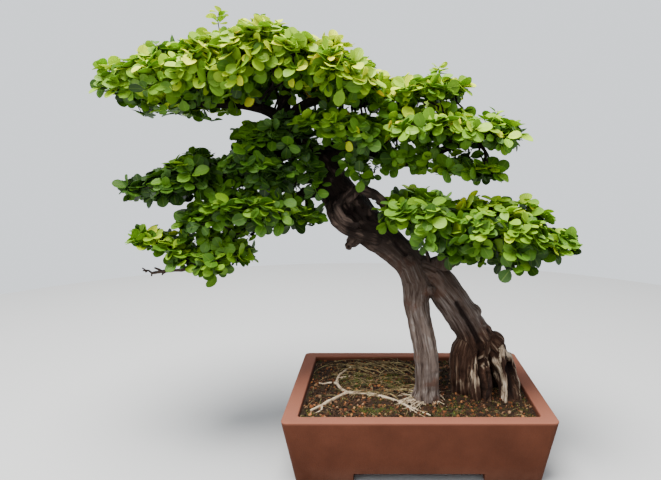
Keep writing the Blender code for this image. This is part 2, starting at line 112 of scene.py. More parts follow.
def leaning_box(low, low_half, high, high_half, corner=0.0, steps=1):
    """A box on the pot's centre whose sides lean from low_half to high_half."""
    bm = bmesh.new()
    bmesh.ops.create_cube(bm, size=2.0)
    for vert in bm.verts:
        half, height = (high_half, high) if vert.co.z > 0 else (low_half, low)
        vert.co = (pot_middle.x + vert.co.x * half[0], pot_middle.y + vert.co.y * half[1], height)
    if corner:
        upright = [e for e in bm.edges if abs(e.verts[0].co.z - e.verts[1].co.z) > (high - low) / 2]
        bmesh.ops.bevel(
            bm, geom=upright, offset=corner, affect="EDGES", segments=steps, profile=0.5, material=-1
        )
    bmesh.ops.recalc_face_normals(bm, faces=bm.faces)
    return mesh_from(bm, "box")


def minus(mesh, cutters):
    """The mesh with each cutter mesh taken out of it."""
    helpers = [new_object("cutter", cutter) for cutter in cutters]
    cuts = [("BOOLEAN", {"operation": "DIFFERENCE", "solver": "EXACT", "object": h}) for h in helpers]
    done = finished(mesh, cuts)
    for helper in helpers:
        bpy.data.objects.remove(helper)
    return done


def simple(create, place, **sizes):
    """The shape that one create_ operator makes, moved to a place."""
    bm = bmesh.new()
    create(bm, **sizes)
    bmesh.ops.translate(bm, vec=place, verts=bm.verts)
    return mesh_from(bm, "simple")


def drain_hole(side):
    place = (pot_middle.x + side * DRAIN_OUT, pot_middle.y, CAVITY_FLOOR)
    sizes = {"radius1": DRAIN_RADIUS, "radius2": DRAIN_RADIUS, "depth": DRAIN_CUT_DEEP}
    return simple(bmesh.ops.create_cone, place, cap_ends=True, segments=40, **sizes)


foot_inner = [half - FOOT_RING for half in POT_FOOT_HALF]
front_cut = (FRONT_CUT / 2, PAST_WALLS[1])
side_cut = (PAST_WALLS[0], SIDE_CUT / 2)
pot_mesh = minus(
    leaning_box(0.0, POT_FOOT_HALF, POT_TOP, POT_TOP_HALF, POT_CORNER, 10),
    [
        leaning_box(CAVITY_FLOOR, CAVITY_FLOOR_HALF, CAVITY_OVER, CAVITY_OVER_HALF, CAVITY_CORNER, 8),
        leaning_box(CUT_FROM, foot_inner, FOOT_TALL, foot_inner, RING_CORNER, 6),
        leaning_box(CUT_FROM, front_cut, FOOT_TALL, front_cut),
        leaning_box(CUT_FROM, side_cut, FOOT_TALL, side_cut),
        drain_hole(-1),
        drain_hole(1),
    ],
)
edges = {"limit_method": "ANGLE", "angle_limit": math.radians(35), "use_clamp_overlap": True}
pot_mesh = finished(pot_mesh, [("BEVEL", {"width": SOFT_EDGE, "segments": 3, **edges})])
pot_mesh.shade_smooth()
pot_mesh.set_sharp_from_angle(angle=math.radians(32))


def put(tree, kind, values=None, **settings):
    """A new shader node. A value that is a socket is linked, and any other is set."""
    made = tree.nodes.new(kind)
    for key, value in settings.items():
        setattr(made, key, value)
    for socket, value in (values or {}).items():
        if isinstance(value, bpy.types.NodeSocket):
            tree.links.new(value, made.inputs[socket])
        else:
            made.inputs[socket].default_value = value
    return made


def ramp(tree, factor, *stops):
    """Colour stops (place, colour) along a factor."""
    made = put(tree, "ShaderNodeValToRGB", {"Fac": factor})
    while len(made.color_ramp.elements) < len(stops):
        made.color_ramp.elements.new(1.0)
    for element, (place, colour) in zip(made.color_ramp.elements, stops):
        element.position = place
        element.color = (*colour, 1.0)
    return made.outputs["Color"]


def grey(tree, factor, low, high, out_low=0.0, out_high=1.0):
    """Factor carried from low..high to out_low..out_high, and held at both ends."""
    values = {"Value": factor, "From Min": low, "From Max": high, "To Min": out_low, "To Max": out_high}
    return put(tree, "ShaderNodeMapRange", values).outputs["Result"]


def mixed(tree, factor, first, second, blend="MIX"):
    """Two colours mixed by a factor. The node's colour sockets are its inputs 6 and 7."""
    first, second = [(*side, 1.0) if isinstance(side, tuple) else side for side in (first, second)]
    values = {0: factor, 6: first, 7: second}
    return put(tree, "ShaderNodeMix", values, data_type="RGBA", blend_type=blend).outputs[2]


def worked(tree, operation, first, second=0.0):
    return put(tree, "ShaderNodeMath", {0: first, 1: second}, operation=operation).outputs[0]


def split(tree, vector):
    return put(tree, "ShaderNodeSeparateXYZ", {0: vector}).outputs


def new_finish(name, roughness, specular=0.5):
    material = bpy.data.materials.new(name)
    material.use_nodes = True
    shader = material.node_tree.nodes["Principled BSDF"]
    shader.inputs["Roughness"].default_value = roughness
    shader.inputs["Specular IOR Level"].default_value = specular
    return material, material.node_tree, shader


def make_speckle_group():
    """Broad cloud, fine grain and the height of both, for every natural surface."""
    group = bpy.data.node_groups.new("cloud and grain", "ShaderNodeTree")
    for name, kind in (("Place", "Vector"), ("Cloud Size", "Float"), ("Grain Size", "Float")):
        group.interface.new_socket(name=name, in_out="INPUT", socket_type="NodeSocket" + kind)
    for name in ("Cloud", "Grain", "Height"):
        group.interface.new_socket(name=name, in_out="OUTPUT", socket_type="NodeSocketFloat")
    given = group.nodes.new("NodeGroupInput")
    result = group.nodes.new("NodeGroupOutput")
    shares = {}
    for output, detail in (("Cloud", 4.0), ("Grain", 3.0)):
        values = {"Vector": given.outputs["Place"], "Scale": given.outputs[output + " Size"]}
        spread = put(group, "ShaderNodeTexNoise", {**values, "Detail": detail, "Roughness": 0.6})
        shares[output] = grey(group, spread.outputs[0], 0.32, 0.68)
        group.links.new(shares[output], result.inputs[output])
    group.links.new(worked(group, "ADD", shares["Cloud"], shares["Grain"]), result.inputs["Height"])
    return group


speckle_group = make_speckle_group()


def speckled(tree, place, cloud_size, grain_size):
    values = {"Place": place, "Cloud Size": cloud_size, "Grain Size": grain_size}
    return put(tree, "ShaderNodeGroup", values, node_tree=speckle_group).outputs


def own_place(tree):
    return put(tree, "ShaderNodeTexCoord").outputs["Object"]


def surfaced(tree, shader, colour, spots, rough, depth, height=None, strength=1.0):
    """Gives a finish its colour, a roughness between two values that follows its grain, and relief."""
    tree.links.new(colour, shader.inputs["Base Color"])
    tree.links.new(grey(tree, spots["Grain"], 0.0, 1.0, *rough), shader.inputs["Roughness"])
    values = {"Height": spots["Grain"] if height is None else height, "Distance": depth, "Strength": strength}
    tree.links.new(put(tree, "ShaderNodeBump", values).outputs[0], shader.inputs["Normal"])


clay, tree, shader = new_finish("unglazed clay", 0.85, 0.12)
place = own_place(tree)
spots = speckled(tree, place, 14.0, 900.0)
body = ramp(tree, spots["Cloud"], (0.0, (0.062, 0.0185, 0.0088)), (1.0, (0.091, 0.028, 0.0140)))
pits = grey(tree, spots["Grain"], 0.0, 0.35, 0.72, 1.0)
body = mixed(tree, pits, (0.040, 0.012, 0.006), body)
upright = split(tree, place)["Z"]
# The rim is painted paler, a painted highlight for the light from above, and lime from watering clouds the
# foot of the walls.
rim_painted_light = grey(tree, upright, POT_TOP - 0.004, POT_TOP - 0.0005, 0.0, 0.5)
body = mixed(tree, rim_painted_light, body, (0.26, 0.098, 0.062))
lime = worked(tree, "MULTIPLY", grey(tree, upright, 0.0, 0.03, 0.22, 0.0), spots["Cloud"])
body = mixed(tree, lime, body, (0.17, 0.105, 0.08))
surfaced(tree, shader, body, spots, (0.75, 0.95), 0.0003)
show("pot_of_clay", pot_mesh, clay, ["pot"])

# ---------------------------------------------------------------- drain screens and wires
# A square of black plastic mesh lies over each drain hole, inside the pot. A bent aluminium wire
# goes down through it and the hole, and its ends are turned out under the floor.
plastic, tree, shader = new_finish("drain mesh plastic", 0.5)
spots = speckled(tree, own_place(tree), 60.0, 1500.0)
soiled = ramp(tree, spots["Cloud"], (0.0, (0.012, 0.012, 0.012)), (1.0, (0.05, 0.035, 0.025)))
surfaced(tree, shader, soiled, spots, (0.4, 0.7), 0.0001)
metal, tree, shader = new_finish("dulled aluminium wire", 0.4)
shader.inputs["Metallic"].default_value = 1.0
spots = speckled(tree, own_place(tree), 120.0, 2500.0)
dulled = ramp(tree, spots["Cloud"], (0.0, (0.40, 0.39, 0.38)), (1.0, (0.62, 0.62, 0.63)))
surfaced(tree, shader, dulled, spots, (0.3, 0.6), 0.00005)
for side in ("left", "right"):
    for node, finish in (("drain_screen_", plastic), ("screen_wire_", metal)):
        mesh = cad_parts[node + side].data
        mesh.materials.clear()
        mesh.materials.append(finish)

# ---------------------------------------------------------------- soil
# Dark grit and crumbs, packed round the roots up to a finger's width under the rim. The crumbs of
# bark, fired clay and old leaf lie loose on top.
soil_low, soil_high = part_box("soil")
SOIL_TOP = soil_high.z
soil_middle = Vector((pot_middle.x, pot_middle.y, 0.0))
soil_half = Vector((soil_high.x - soil_low.x, soil_high.y - soil_low.y, 0.0)) / 2
# The tree stands right of the pot's middle, and its feet stand on both sides of this spot.
TREE_RIGHT = 0.0802
root_spot = soil_middle + Vector((TREE_RIGHT, 0.0, SOIL_TOP))
LIVE_LEG_AT = root_spot + Vector((-0.062, -0.048, 0.0))
DEAD_FOOT_AT = root_spot + Vector((0.036, -0.014, 0.0))
LIVE_LEG_REACH = 0.034
DEAD_FOOT_REACH = 0.062
SOIL_EDGE_GAP = 0.0004
SOIL_SKIRT = (0.984, 0.980)
SOIL_SKIRT_FOOT = soil_low.z + 0.002
LOOSE_FROM_WALL = 0.003
SOIL_CELLS = (150, 108)
CRUMBS = 5600
CRUMB_RADIUS = (0.0010, 0.0034)


def ground_noise(x, y, scale, seed):
    return noise.noise(Vector((x * scale, y * scale, seed)))


def soil_height(x, y):
    """Small heaps, and a little mound against both feet of the tree."""
    heaps = ground_noise(x, y, 38, 3.1) * 0.0016
    grit = ground_noise(x, y, 240, 7.7) * 0.0009
    mound = 0.0
    for spot, reach in ((LIVE_LEG_AT, LIVE_LEG_REACH), (DEAD_FOOT_AT, DEAD_FOOT_REACH)):
        away = math.hypot(x - spot.x, y - spot.y) / reach
        mound = max(mound, 0.003 * max(0.0, 1.15 - away))
    return SOIL_TOP - 0.0005 + heaps + grit + mound


bm = bmesh.new()
bmesh.ops.create_grid(bm, x_segments=SOIL_CELLS[0], y_segments=SOIL_CELLS[1], size=1.0)
for vert in bm.verts:
    x = soil_middle.x + vert.co.x * (soil_half.x - SOIL_EDGE_GAP)
    y = soil_middle.y + vert.co.y * (soil_half.y - SOIL_EDGE_GAP)
    vert.co = (x, y, soil_height(x, y))
rim = [e for e in bm.edges if e.is_boundary]
skirt = bmesh.ops.extrude_edge_only(bm, edges=rim)["geom"]
for vert in [g for g in skirt if isinstance(g, bmesh.types.BMVert)]:
    vert.co.x = soil_middle.x + (vert.co.x - soil_middle.x) * SOIL_SKIRT[0]
    vert.co.y = soil_middle.y + (vert.co.y - soil_middle.y) * SOIL_SKIRT[1]
    vert.co.z = SOIL_SKIRT_FOOT
bmesh.ops.contextual_create(bm, geom=[g for g in skirt if isinstance(g, bmesh.types.BMEdge)])
bmesh.ops.recalc_face_normals(bm, faces=bm.faces)
soil_base = mesh_from(bm, "soil")


class Gathered:
    """Copies of small shapes gathered into one mesh, each with a tone of its own."""

    def __init__(self):
        self.bm = bmesh.new()
        self.tones = []

    def add(self, blank, matrix, tone):
        copy = blank.copy()
        copy.transform(matrix)
        self.bm.from_mesh(copy)
        bpy.data.meshes.remove(copy)
        self.tones.append(np.full(len(blank.vertices), tone, np.float32))

    def mesh(self, name):
        mesh = mesh_from(self.bm, name)
        tones = mesh.attributes.new("tone", "FLOAT", "POINT")
        tones.data.foreach_set("value", np.concatenate(self.tones))
        return mesh


def lump_blank(seed, squash):
    """A crumb or a pebble: a ball of twenty faces, knocked out of round."""
    bm = bmesh.new()
    bmesh.ops.create_icosphere(bm, subdivisions=1, radius=1.0)
    draws = random.Random(seed)
    for vert in bm.verts:
        vert.co *= draws.uniform(0.7, 1.25)
        vert.co.z *= squash
    return mesh_from(bm, "lump")


def turned(place, draws, size, tilt=math.pi):
    """A matrix that puts a blank at a place, turned at random and scaled to its three sizes."""
    turn = Matrix.Rotation(draws.uniform(0, 2 * math.pi), 4, "Z")
    lean = Matrix.Rotation(draws.uniform(-tilt, tilt), 4, "X")
    return Matrix.Translation(place) @ turn @ lean @ Matrix.Diagonal((*size, 1.0))


draws = random.Random(11)
soil_piece = Gathered()
soil_piece.add(soil_base, Matrix.Identity(4), 0.22)
lumps = [lump_blank(seed, squash) for seed, squash in ((1, 0.75), (2, 0.55), (3, 0.9))]
for _ in range(CRUMBS):
    x = soil_middle.x + draws.uniform(-1, 1) * (soil_half.x - LOOSE_FROM_WALL)
    y = soil_middle.y + draws.uniform(-1, 1) * (soil_half.y - LOOSE_FROM_WALL)
    radius = CRUMB_RADIUS[0] + (CRUMB_RADIUS[1] - CRUMB_RADIUS[0]) * draws.random() ** 2.2
    place = Vector((x, y, soil_height(x, y) + radius * draws.uniform(-0.2, 0.5)))
    soil_piece.add(draws.choice(lumps), turned(place, draws, (radius,) * 3), draws.random())
soil_mesh = soil_piece.mesh("soil_bed")


def attribute(tree, name, output="Vector"):
    return put(tree, "ShaderNodeAttribute", attribute_name=name).outputs[output]


grit, tree, shader = new_finish("grit and crumbs", 0.9, 0.12)
spots = speckled(tree, own_place(tree), 110.0, 1100.0)
crumb = ramp(
    tree,
    attribute(tree, "tone", "Fac"),
    (0.0, (0.012, 0.007, 0.004)),
    (0.45, (0.038, 0.020, 0.011)),
    (0.72, (0.085, 0.036, 0.017)),
    (0.88, (0.170, 0.056, 0.020)),
    (0.95, (0.25, 0.15, 0.08)),
    (1.0, (0.42, 0.15, 0.04)),
)
damp = grey(tree, spots["Cloud"], 0.0, 1.0, 0.55, 1.25)
crumb = mixed(tree, 1.0, crumb, damp, "MULTIPLY")
surfaced(tree, shader, crumb, spots, (0.75, 1.0), 0.0006, spots["Height"])
show("soil_bed", soil_mesh, grit, ["soil"])

# ---------------------------------------------------------------- trunk
# Both legs, the hollow dead foot at the right, the burl and the leader grew as one. The live leg
# keeps smooth striped bark. The dead foot is bare wood in strands round deep hollows, which are painted dark
# as shade.
# Limbs are (across, back, up, radius) in millimetres from the spot between the feet.
LEADER = [
    (-65, -50, -20, 27),
    (-63, -49, 2, 22.5),
    (-62, -48, 20, 19),
    (-64, -42, 73, 19.5),
    (-72, -31, 115, 19),
    (-79, -18, 150, 21),
    (-78, -8, 182, 26),
    (-88, 0, 207, 26),
    (-114, 4, 234, 25),
    (-152, 10, 264, 29),
    (-186, 14, 294, 35),
    (-211, 18, 330, 28),
    (-231, 22, 366, 24),
    (-263, 24, 397, 18),
    (-287, 26, 431, 14.5),
    (-291, 28, 464, 11),
    (-283, 30, 496, 7),
]
RIGHT_LEG = [
    (-88, 0, 204, 24),
    (-50, -2, 188, 26),
    (-20, -8, 150, 26),
    (4, -12, 114, 26),
    (20, -14, 84, 27),
]
STRANDS = [
    [(8, -16, 92, 20), (-1, -18, 62, 22), (-1, -20, 34, 22), (4, -14, -18, 23)],
    [(24, -18, 88, 15), (18, -34, 50, 13.5), (22, -46, 15, 15), (26, -50, -18, 19)],
    [(28, -14, 92, 18), (50, -16, 68, 19), (64, -24, 38, 16), (70, -38, 10, 16.5), (70, -50, -18, 19)],
    [(38, -6, 82, 18), (58, 6, 50, 17), (66, 14, 15, 18), (68, 16, -18, 20)],
    [(16, 0, 90, 18), (20, 16, 50, 18), (28, 30, 10, 19), (30, 34, -18, 21)],
    [(36, -12, -4, 30), (38, -10, -16, 40)],
]
RIDGES = [
    [(14, -34, 82, 4), (12, -36, 50, 3.5), (19, -47, 20, 3.5), (15, -52, -4, 6)],
    [(32, -34, 88, 5), (35, -40, 60, 3.5), (40, -52, 25, 3.5), (36, -60, -4, 6)],
    [(56, -30, 76, 5), (60, -40, 50, 3.5), (60, -50, 22, 3.5), (58, -60, -4, 6)],
    [(66, -26, 70, 5), (76, -34, 48, 4), (82, -42, 20, 4), (82, -50, -4, 6)],
    [(72, -10, 62, 6), (82, -14, 34, 4.5), (86, -20, 8, 5), (86, -26, -6, 7)],
]
BURL = [
    [
        (-190, -10, 314, 9),
        (-172, -26, 330, 8),
        (-148, -30, 324, 8.5),
        (-126, -22, 300, 9),
        (-112, -14, 276, 8),
    ],
    [
        (-214, -10, 304, 9),
        (-208, -24, 284, 8),
        (-190, -28, 268, 8),
        (-164, -24, 258, 8),
        (-140, -16, 250, 8),
    ],
    [(-196, -16, 322, 7), (-204, -26, 304, 7), (-192, -34, 286, 7), (-172, -32, 276, 6)],
    [(-160, 8, 268, 15), (-178, -4, 250, 13), (-184, -9, 243, 10.5)],
]
KNOTS = [
    (48, -20, 88, 15),
    (31, -22, 104, 13),
    (12, -16, 132, 15),
    (-94, -20, 222, 11),
    (-206, -6, 306, 15),
    (-196, -12, 286, 12),
    (-222, 0, 346, 13),
    (-58, -30, 172, 9),
    (-186, -14, 241, 8),
    (-244, 6, 384, 10),
]
# Grooves and pits: a line of places, then how wide and how deep it is worn in.
HOLLOWS = [
    ([(-14, -36, 152), (4, -40, 122), (20, -40, 92), (25, -46, 62)], 6, 8),
    ([(22, -44, 70), (27, -54, 36), (25, -62, -4)], 6, 15),
    ([(45, -44, 70), (47, -54, 32), (46, -62, -4)], 8, 14),
    ([(70, -38, 52), (71, -48, 26), (70, -56, -2)], 5.5, 8),
    ([(4, -32, 46), (4, -36, 24)], 6, 4),
    ([(36, -34, 112), (44, -36, 98)], 4, 5),
    ([(-166, -30, 306), (-150, -28, 294)], 13, 17),
    ([(-186, -26, 300), (-178, -28, 286)], 8, 10),
    ([(-172, -24, 347), (-150, -18, 342)], 8, 11),
    ([(-200, -26, 338), (-206, -24, 322)], 6, 7),
    ([(-188, -24, 240)], 5, 4),
    ([(-112, -22, 250), (-98, -24, 232)], 5, 4),
    ([(40, 46, 56), (44, 50, 20), (44, 54, -2)], 8, 9),
    ([(84, 26, 50), (88, 30, 20)], 6, 6),
    ([(-170, 46, 304), (-186, 48, 316)], 9, 9),
    ([(-8, 20, 150), (10, 24, 112)], 6, 6),
]
WOOD_CELL = 0.0018


def from_spot(point):
    return root_spot + Vector(point[:3]) / 1000


def tube(limbs, around, along, course="BEZIER"):
    """Round limbs, each given as (place, radius) points, as one mesh with closed ends."""
    data = bpy.data.curves.new("limbs", "CURVE")
    data.dimensions = "3D"
    data.bevel_depth = 1.0
    data.bevel_resolution = around
    data.resolution_u = along
    data.use_fill_caps = True
    for limb in limbs:
        spline = data.splines.new(course)
        curved = course == "BEZIER"
        knots = spline.bezier_points if curved else spline.points
        knots.add(len(limb) - 1)
        for knot, (point, radius) in zip(knots, limb):
            knot.co = point if curved else (*point, 1.0)
            knot.radius = radius
            if curved:
                knot.handle_left_type = knot.handle_right_type = "AUTO"
    bm = bmesh.new()
    bm.from_mesh(finished(data, []))
    bmesh.ops.remove_doubles(bm, verts=bm.verts, dist=1e-6)
    bmesh.ops.recalc_face_normals(bm, faces=bm.faces)
    return mesh_from(bm, "limbs")


def joined(meshes):
    bm = bmesh.new()
    for mesh in meshes:
        bm.from_mesh(mesh)
    return mesh_from(bm, "joined")


def placed(limb):
    """A limb's points as (place, radius) in metres."""
    return [(from_spot(p), p[3] / 1000) for p in limb]


def axis_points(limb, steps=12):
    """Points along a limb's middle line: place, direction, distance along and radius."""
    rows = []
    run = 0.0
    for (a, ra), (b, rb) in zip(limb, limb[1:]):
        way = (b - a).normalized()
        for i in range(steps):
            share = i / steps
            place = a + (b - a) * share
            rows.append((*place, *way, run + (b - a).length * share, ra + (rb - ra) * share))
        run += (b - a).length
    return np.array(rows)


def coordinates(mesh):
    co = np.empty(len(mesh.vertices) * 3, np.float32)
    mesh.vertices.foreach_get("co", co)
    return co.reshape(-1, 3)


def dot(a, b):
    """The product of each row of a with the same row of b."""
    return (a * b).sum(1)


def along_limbs(points, axes):
    """For each point: its limb, and its place as if that limb were straight."""
    rows = np.concatenate(axes)
    owner = np.concatenate([np.full(len(a), i) for i, a in enumerate(axes)])
    nearest = np.empty(len(points), int)
    for start in range(0, len(points), 4000):
        part = points[start : start + 4000]
        away = np.linalg.norm(part[:, None, :] - rows[None, :, :3], axis=2) - rows[None, :, 7]
        nearest[start : start + 4000] = away.argmin(1)
    row = rows[nearest]
    way = row[:, 3:6]
    across = np.array([0.0, 1.0, 0.0]) - way * way[:, 1:2]
    across /= np.linalg.norm(across, axis=1, keepdims=True)
    side = np.cross(way, across)
    offset = points - row[:, :3]
    grain = np.stack([dot(offset, across), dot(offset, side), row[:, 6] + dot(offset, way)], 1)
    grain[:, 2] += owner[nearest] * 0.37
    return owner[nearest], grain


def noise_at(points, scale, seed=0.0):
    """Noise at each point, with one scale or one for each axis."""
    shift = Vector((seed, seed * 1.7, seed * 0.3))
    return np.array([noise.noise(Vector(p) + shift) for p in points * np.broadcast_to(scale, 3)])


def smooth_step(x):
    x = np.clip(x, 0.0, 1.0)
    return x * x * (3 - 2 * x)


def normals_of(mesh):
    normals = np.empty(len(mesh.vertices) * 3, np.float32)
    mesh.vertex_normals.foreach_get("vector", normals)
    return normals.reshape(-1, 3)


def push_out(mesh, points, out):
    """Moves the mesh's points, and this list of them, along their normals."""
    points += normals_of(mesh) * out[:, None]
    mesh.vertices.foreach_set("co", points.astype(np.float32).ravel())


def add_vector(mesh, name, values):
    added = mesh.attributes.new(name, "FLOAT_VECTOR", "POINT")
    added.data.foreach_set("vector", np.asarray(values, np.float32).ravel())


live = [placed(LEADER), placed(RIGHT_LEG)]
dead = [placed(s) for s in STRANDS + RIDGES]
burl = [placed(b) for b in BURL]
limb_meshes = [tube([limb], 7, 8) for limb in live + dead + burl]
knot_meshes = [simple(bmesh.ops.create_icosphere, p, subdivisions=3, radius=r) for p, r in placed(KNOTS)]
trunk_mesh = finished(
    joined(limb_meshes + knot_meshes),
    [
        ("REMESH", {"mode": "VOXEL", "voxel_size": WOOD_CELL}),
        ("SMOOTH", {"factor": 0.5, "iterations": 5}),
    ],
)
points = coordinates(trunk_mesh).astype(float)
owner, grain = along_limbs(points, [axis_points(limb) for limb in live + dead + burl])
height = points[:, 2] - root_spot.z
bare = np.where((owner >= len(live)) & (owner < len(live) + len(dead)), 1.0, 0.0)
bare = np.maximum(bare, (owner == 1) * smooth_step((0.135 - height) / 0.05))
flute = noise_at(grain, (62, 62, 6))
ridge = 1 - 2 * np.abs(noise_at(grain, (115, 115, 9), 5.0))
crack = 1 - np.abs(noise_at(grain, (150, 150, 14), 9.0)) * 2.2
fibre = noise_at(grain, (420, 420, 34), 2.0)
knotty = noise_at(points, 70, 4.0)
out = (1 - bare) * (flute * 0.0034 - smooth_step((crack - 0.72) / 0.28) * 0.0012 + knotty * 0.0014)
out += bare * ((ridge - 0.4) * 0.0020 + knotty * 0.0030)
out += fibre * 0.0004


def line_distance(points, line):
    """How far each point is from a line of places."""
    line = [np.array(p) for p in line]
    nearest = np.linalg.norm(points - line[0], axis=1)
    for a, b in zip(line, line[1:]):
        share = np.clip((points - a) @ (b - a) / ((b - a) @ (b - a)), 0, 1)
        nearest = np.minimum(nearest, np.linalg.norm(points - a - share[:, None] * (b - a), axis=1))
    return nearest


hollow = np.zeros(len(points))
frayed = 1 + 0.35 * noise_at(points, 110, 6.0)
for line, radius, depth in HOLLOWS:
    away = line_distance(points, [from_spot(p) for p in line]) * frayed
    dip = smooth_step(1.6 - away / (radius / 1000))
    out -= dip * depth / 1000
    hollow = np.maximum(hollow, dip)
push_out(trunk_mesh, points, out)
trunk_mesh = finished(trunk_mesh, [("SMOOTH", {"factor": 0.4, "iterations": 1})])
add_vector(trunk_mesh, "grain", grain)
# One noise sets both where the bare wood is worn pale and where the painted highlights on the burl fall.
wear_and_highlight_noise = noise_at(points, (48, 48, 20), 8.0)
cream = bare * smooth_step((wear_and_highlight_noise - 0.05) / 0.2) * smooth_step((0.078 - height) / 0.02)
cream *= smooth_step((height - 0.006) / 0.03)
is_ridge = (owner >= len(live) + len(STRANDS)) & (owner < len(live) + len(dead))
outer_side = smooth_step((points[:, 0] - root_spot.x - 0.050) / 0.02)
cream = np.clip(cream * 0.55 + is_ridge * (0.22 + 0.9 * wear_and_highlight_noise + 0.3 * outer_side), 0, 1) * (1 - hollow)
add_vector(trunk_mesh, "wood", np.stack([bare, cream, hollow], 1))
# A mask for painted highlights on the burl's loops and on the raised knots and flutes of the live bark.
lip_highlight = (owner >= len(live) + len(dead)) * (1 - hollow) * smooth_step(0.5 + 1.6 * wear_and_highlight_noise)
lip_highlight = np.maximum(lip_highlight, (1 - bare) * smooth_step((knotty + 0.5 * flute - 0.12) / 0.3) * 0.8)
add_vector(trunk_mesh, "lip_highlight", np.stack([lip_highlight, lip_highlight, lip_highlight], 1))
trunk_mesh.shade_smooth()


def striped(tree, stretch, cloud_size, grain_size):
    """Cloud and grain drawn out along the limbs, whose length is the grain's third value."""
    values = {"Vector": attribute(tree, "grain"), "Scale": (1.0, 1.0, stretch)}
    return speckled(tree, put(tree, "ShaderNodeMapping", values).outputs[0], cloud_size, grain_size)


bark, tree, shader = new_finish("bark and bare wood", 0.85, 0.12)
stripes = striped(tree, 0.09, 250.0, 1100.0)
patches = speckled(tree, own_place(tree), 34.0, 420.0)
bare_share, cream_share, hollow_shade_share = split(tree, attribute(tree, "wood"))
skin = ramp(
    tree,
    stripes["Cloud"],
    (0.0, (0.026, 0.016, 0.012)),
    (0.3, (0.072, 0.050, 0.040)),
    (0.65, (0.125, 0.096, 0.082)),
    (1.0, (0.225, 0.190, 0.168)),
)
skin = mixed(tree, grey(tree, patches["Cloud"], 0.62, 0.95, 0.0, 0.7), skin, (0.090, 0.034, 0.019))
# The wood is darker towards the top, and above the fork it is painted near black: painted shade that the
# crown casts on the upper trunk, the burl, the branches and the shoots.
up = split(tree, own_place(tree))["Z"]
skin = mixed(tree, grey(tree, up, SOIL_TOP + 0.11, SOIL_TOP + 0.19, 0.0, 0.6), skin, (0.046, 0.027, 0.018))
painted_crown_shade = grey(tree, up, SOIL_TOP + 0.195, SOIL_TOP + 0.255, 0.0, 0.92)
skin = mixed(tree, painted_crown_shade, skin, (0.0095, 0.0055, 0.004))
# The burl's rolled lips and the raised knots are painted paler than the bark round them: painted highlights
# where the light catches them.
lip_highlight_share = worked(tree, "MULTIPLY", split(tree, attribute(tree, "lip_highlight"))["X"], stripes["Cloud"])
skin = mixed(tree, grey(tree, lip_highlight_share, 0.15, 0.8, 0.0, 0.75), skin, (0.115, 0.078, 0.060))
dead_dark = ramp(
    tree,
    stripes["Cloud"],
    (0.0, (0.010, 0.005, 0.003)), (0.5, (0.038, 0.017, 0.010)), (1.0, (0.105, 0.060, 0.038)),
)
dead_pale = ramp(
    tree,
    stripes["Grain"],
    (0.0, (0.20, 0.125, 0.075)), (0.5, (0.44, 0.335, 0.23)), (1.0, (0.66, 0.55, 0.42)),
)
pale_share = worked(tree, "ADD", cream_share, stripes["Cloud"])
dead_skin = mixed(tree, grey(tree, pale_share, 0.85, 1.45), dead_dark, dead_pale)
skin = mixed(tree, bare_share, skin, dead_skin)
# The hollows are painted near black: painted shade in the recesses.
skin = mixed(tree, grey(tree, hollow_shade_share, 0.30, 1.0, 0.0, 0.9), skin, (0.010, 0.005, 0.004))
surfaced(tree, shader, skin, stripes, (0.65, 0.95), 0.0012, stripes["Height"])
show("trunk_wood", trunk_mesh, bark, ["trunk"])

# ---------------------------------------------------------------- roots on the soil
# A pale, long-dead root lies on the soil from the live leg to the left, forked twice, and a fan of
# thin fibrous roots leaves the foot of the live leg.
left_wall = soil_low.x
leg_x = LIVE_LEG_AT.x


def on_soil(across, back):
    """A place on the soil: 0 is the left wall and 1 the live leg, -1 the front and 1 the back."""
    x = left_wall + (leg_x - left_wall) * across
    y = soil_middle.y + soil_half.y * back
    return Vector((x, y, soil_height(x, y)))


def lying(points):
    """A root's points as (place, radius) in metres, with a little of it sunk in the soil."""
    limb = [(on_soil(a, b), r / 1000) for a, b, r in points]
    return [(p + Vector((0, 0, r * 0.75)), r) for p, r in limb]


# The main root and its forks: (across, back) of each point on the soil, and its radius in millimetres.
ROOTS = [
    [(1.0, -0.86, 1.3), (0.86, -0.64, 1.9), (0.69, -0.40, 2.4), (0.51, -0.26, 2.8), (0.315, -0.235, 3.1)],
    [(0.34, -0.24, 3.1), (0.26, 0.0, 2.6), (0.24, 0.30, 2.2), (0.29, 0.55, 1.9), (0.34, 0.72, 1.3)],
    [(0.34, -0.235, 3.1), (0.22, -0.47, 3.0), (0.14, -0.62, 2.6), (0.075, -0.74, 1.6)],
    [(0.26, 0.05, 2.1), (0.20, 0.12, 1.8), (0.12, 0.10, 1.4), (0.07, 0.16, 0.9)],
    [(0.16, -0.60, 2.0), (0.15, -0.74, 1.6), (0.10, -0.84, 1.0)],
    [(0.25, 0.26, 2.0), (0.34, 0.36, 1.5), (0.44, 0.40, 0.9)],
    [(0.74, -0.47, 1.8), (0.86, -0.52, 1.4), (0.98, -0.58, 1.0)],
    [(0.80, -0.55, 1.7), (0.88, -0.74, 1.3), (0.98, -0.95, 0.9)],
]
root_limbs = [lying(root) for root in ROOTS]
root_mesh = finished(
    joined([tube([limb], 4, 10) for limb in root_limbs]),
    [("REMESH", {"mode": "VOXEL", "voxel_size": 0.0009}), ("SMOOTH", {"factor": 0.5, "iterations": 3})],
)
points = coordinates(root_mesh).astype(float)
owner, grain = along_limbs(points, [axis_points(limb) for limb in root_limbs])
out = noise_at(grain, (300, 300, 45)) * 0.0007 + noise_at(points, 90, 3.0) * 0.0009
push_out(root_mesh, points, out)
add_vector(root_mesh, "grain", grain)
root_mesh.shade_smooth()

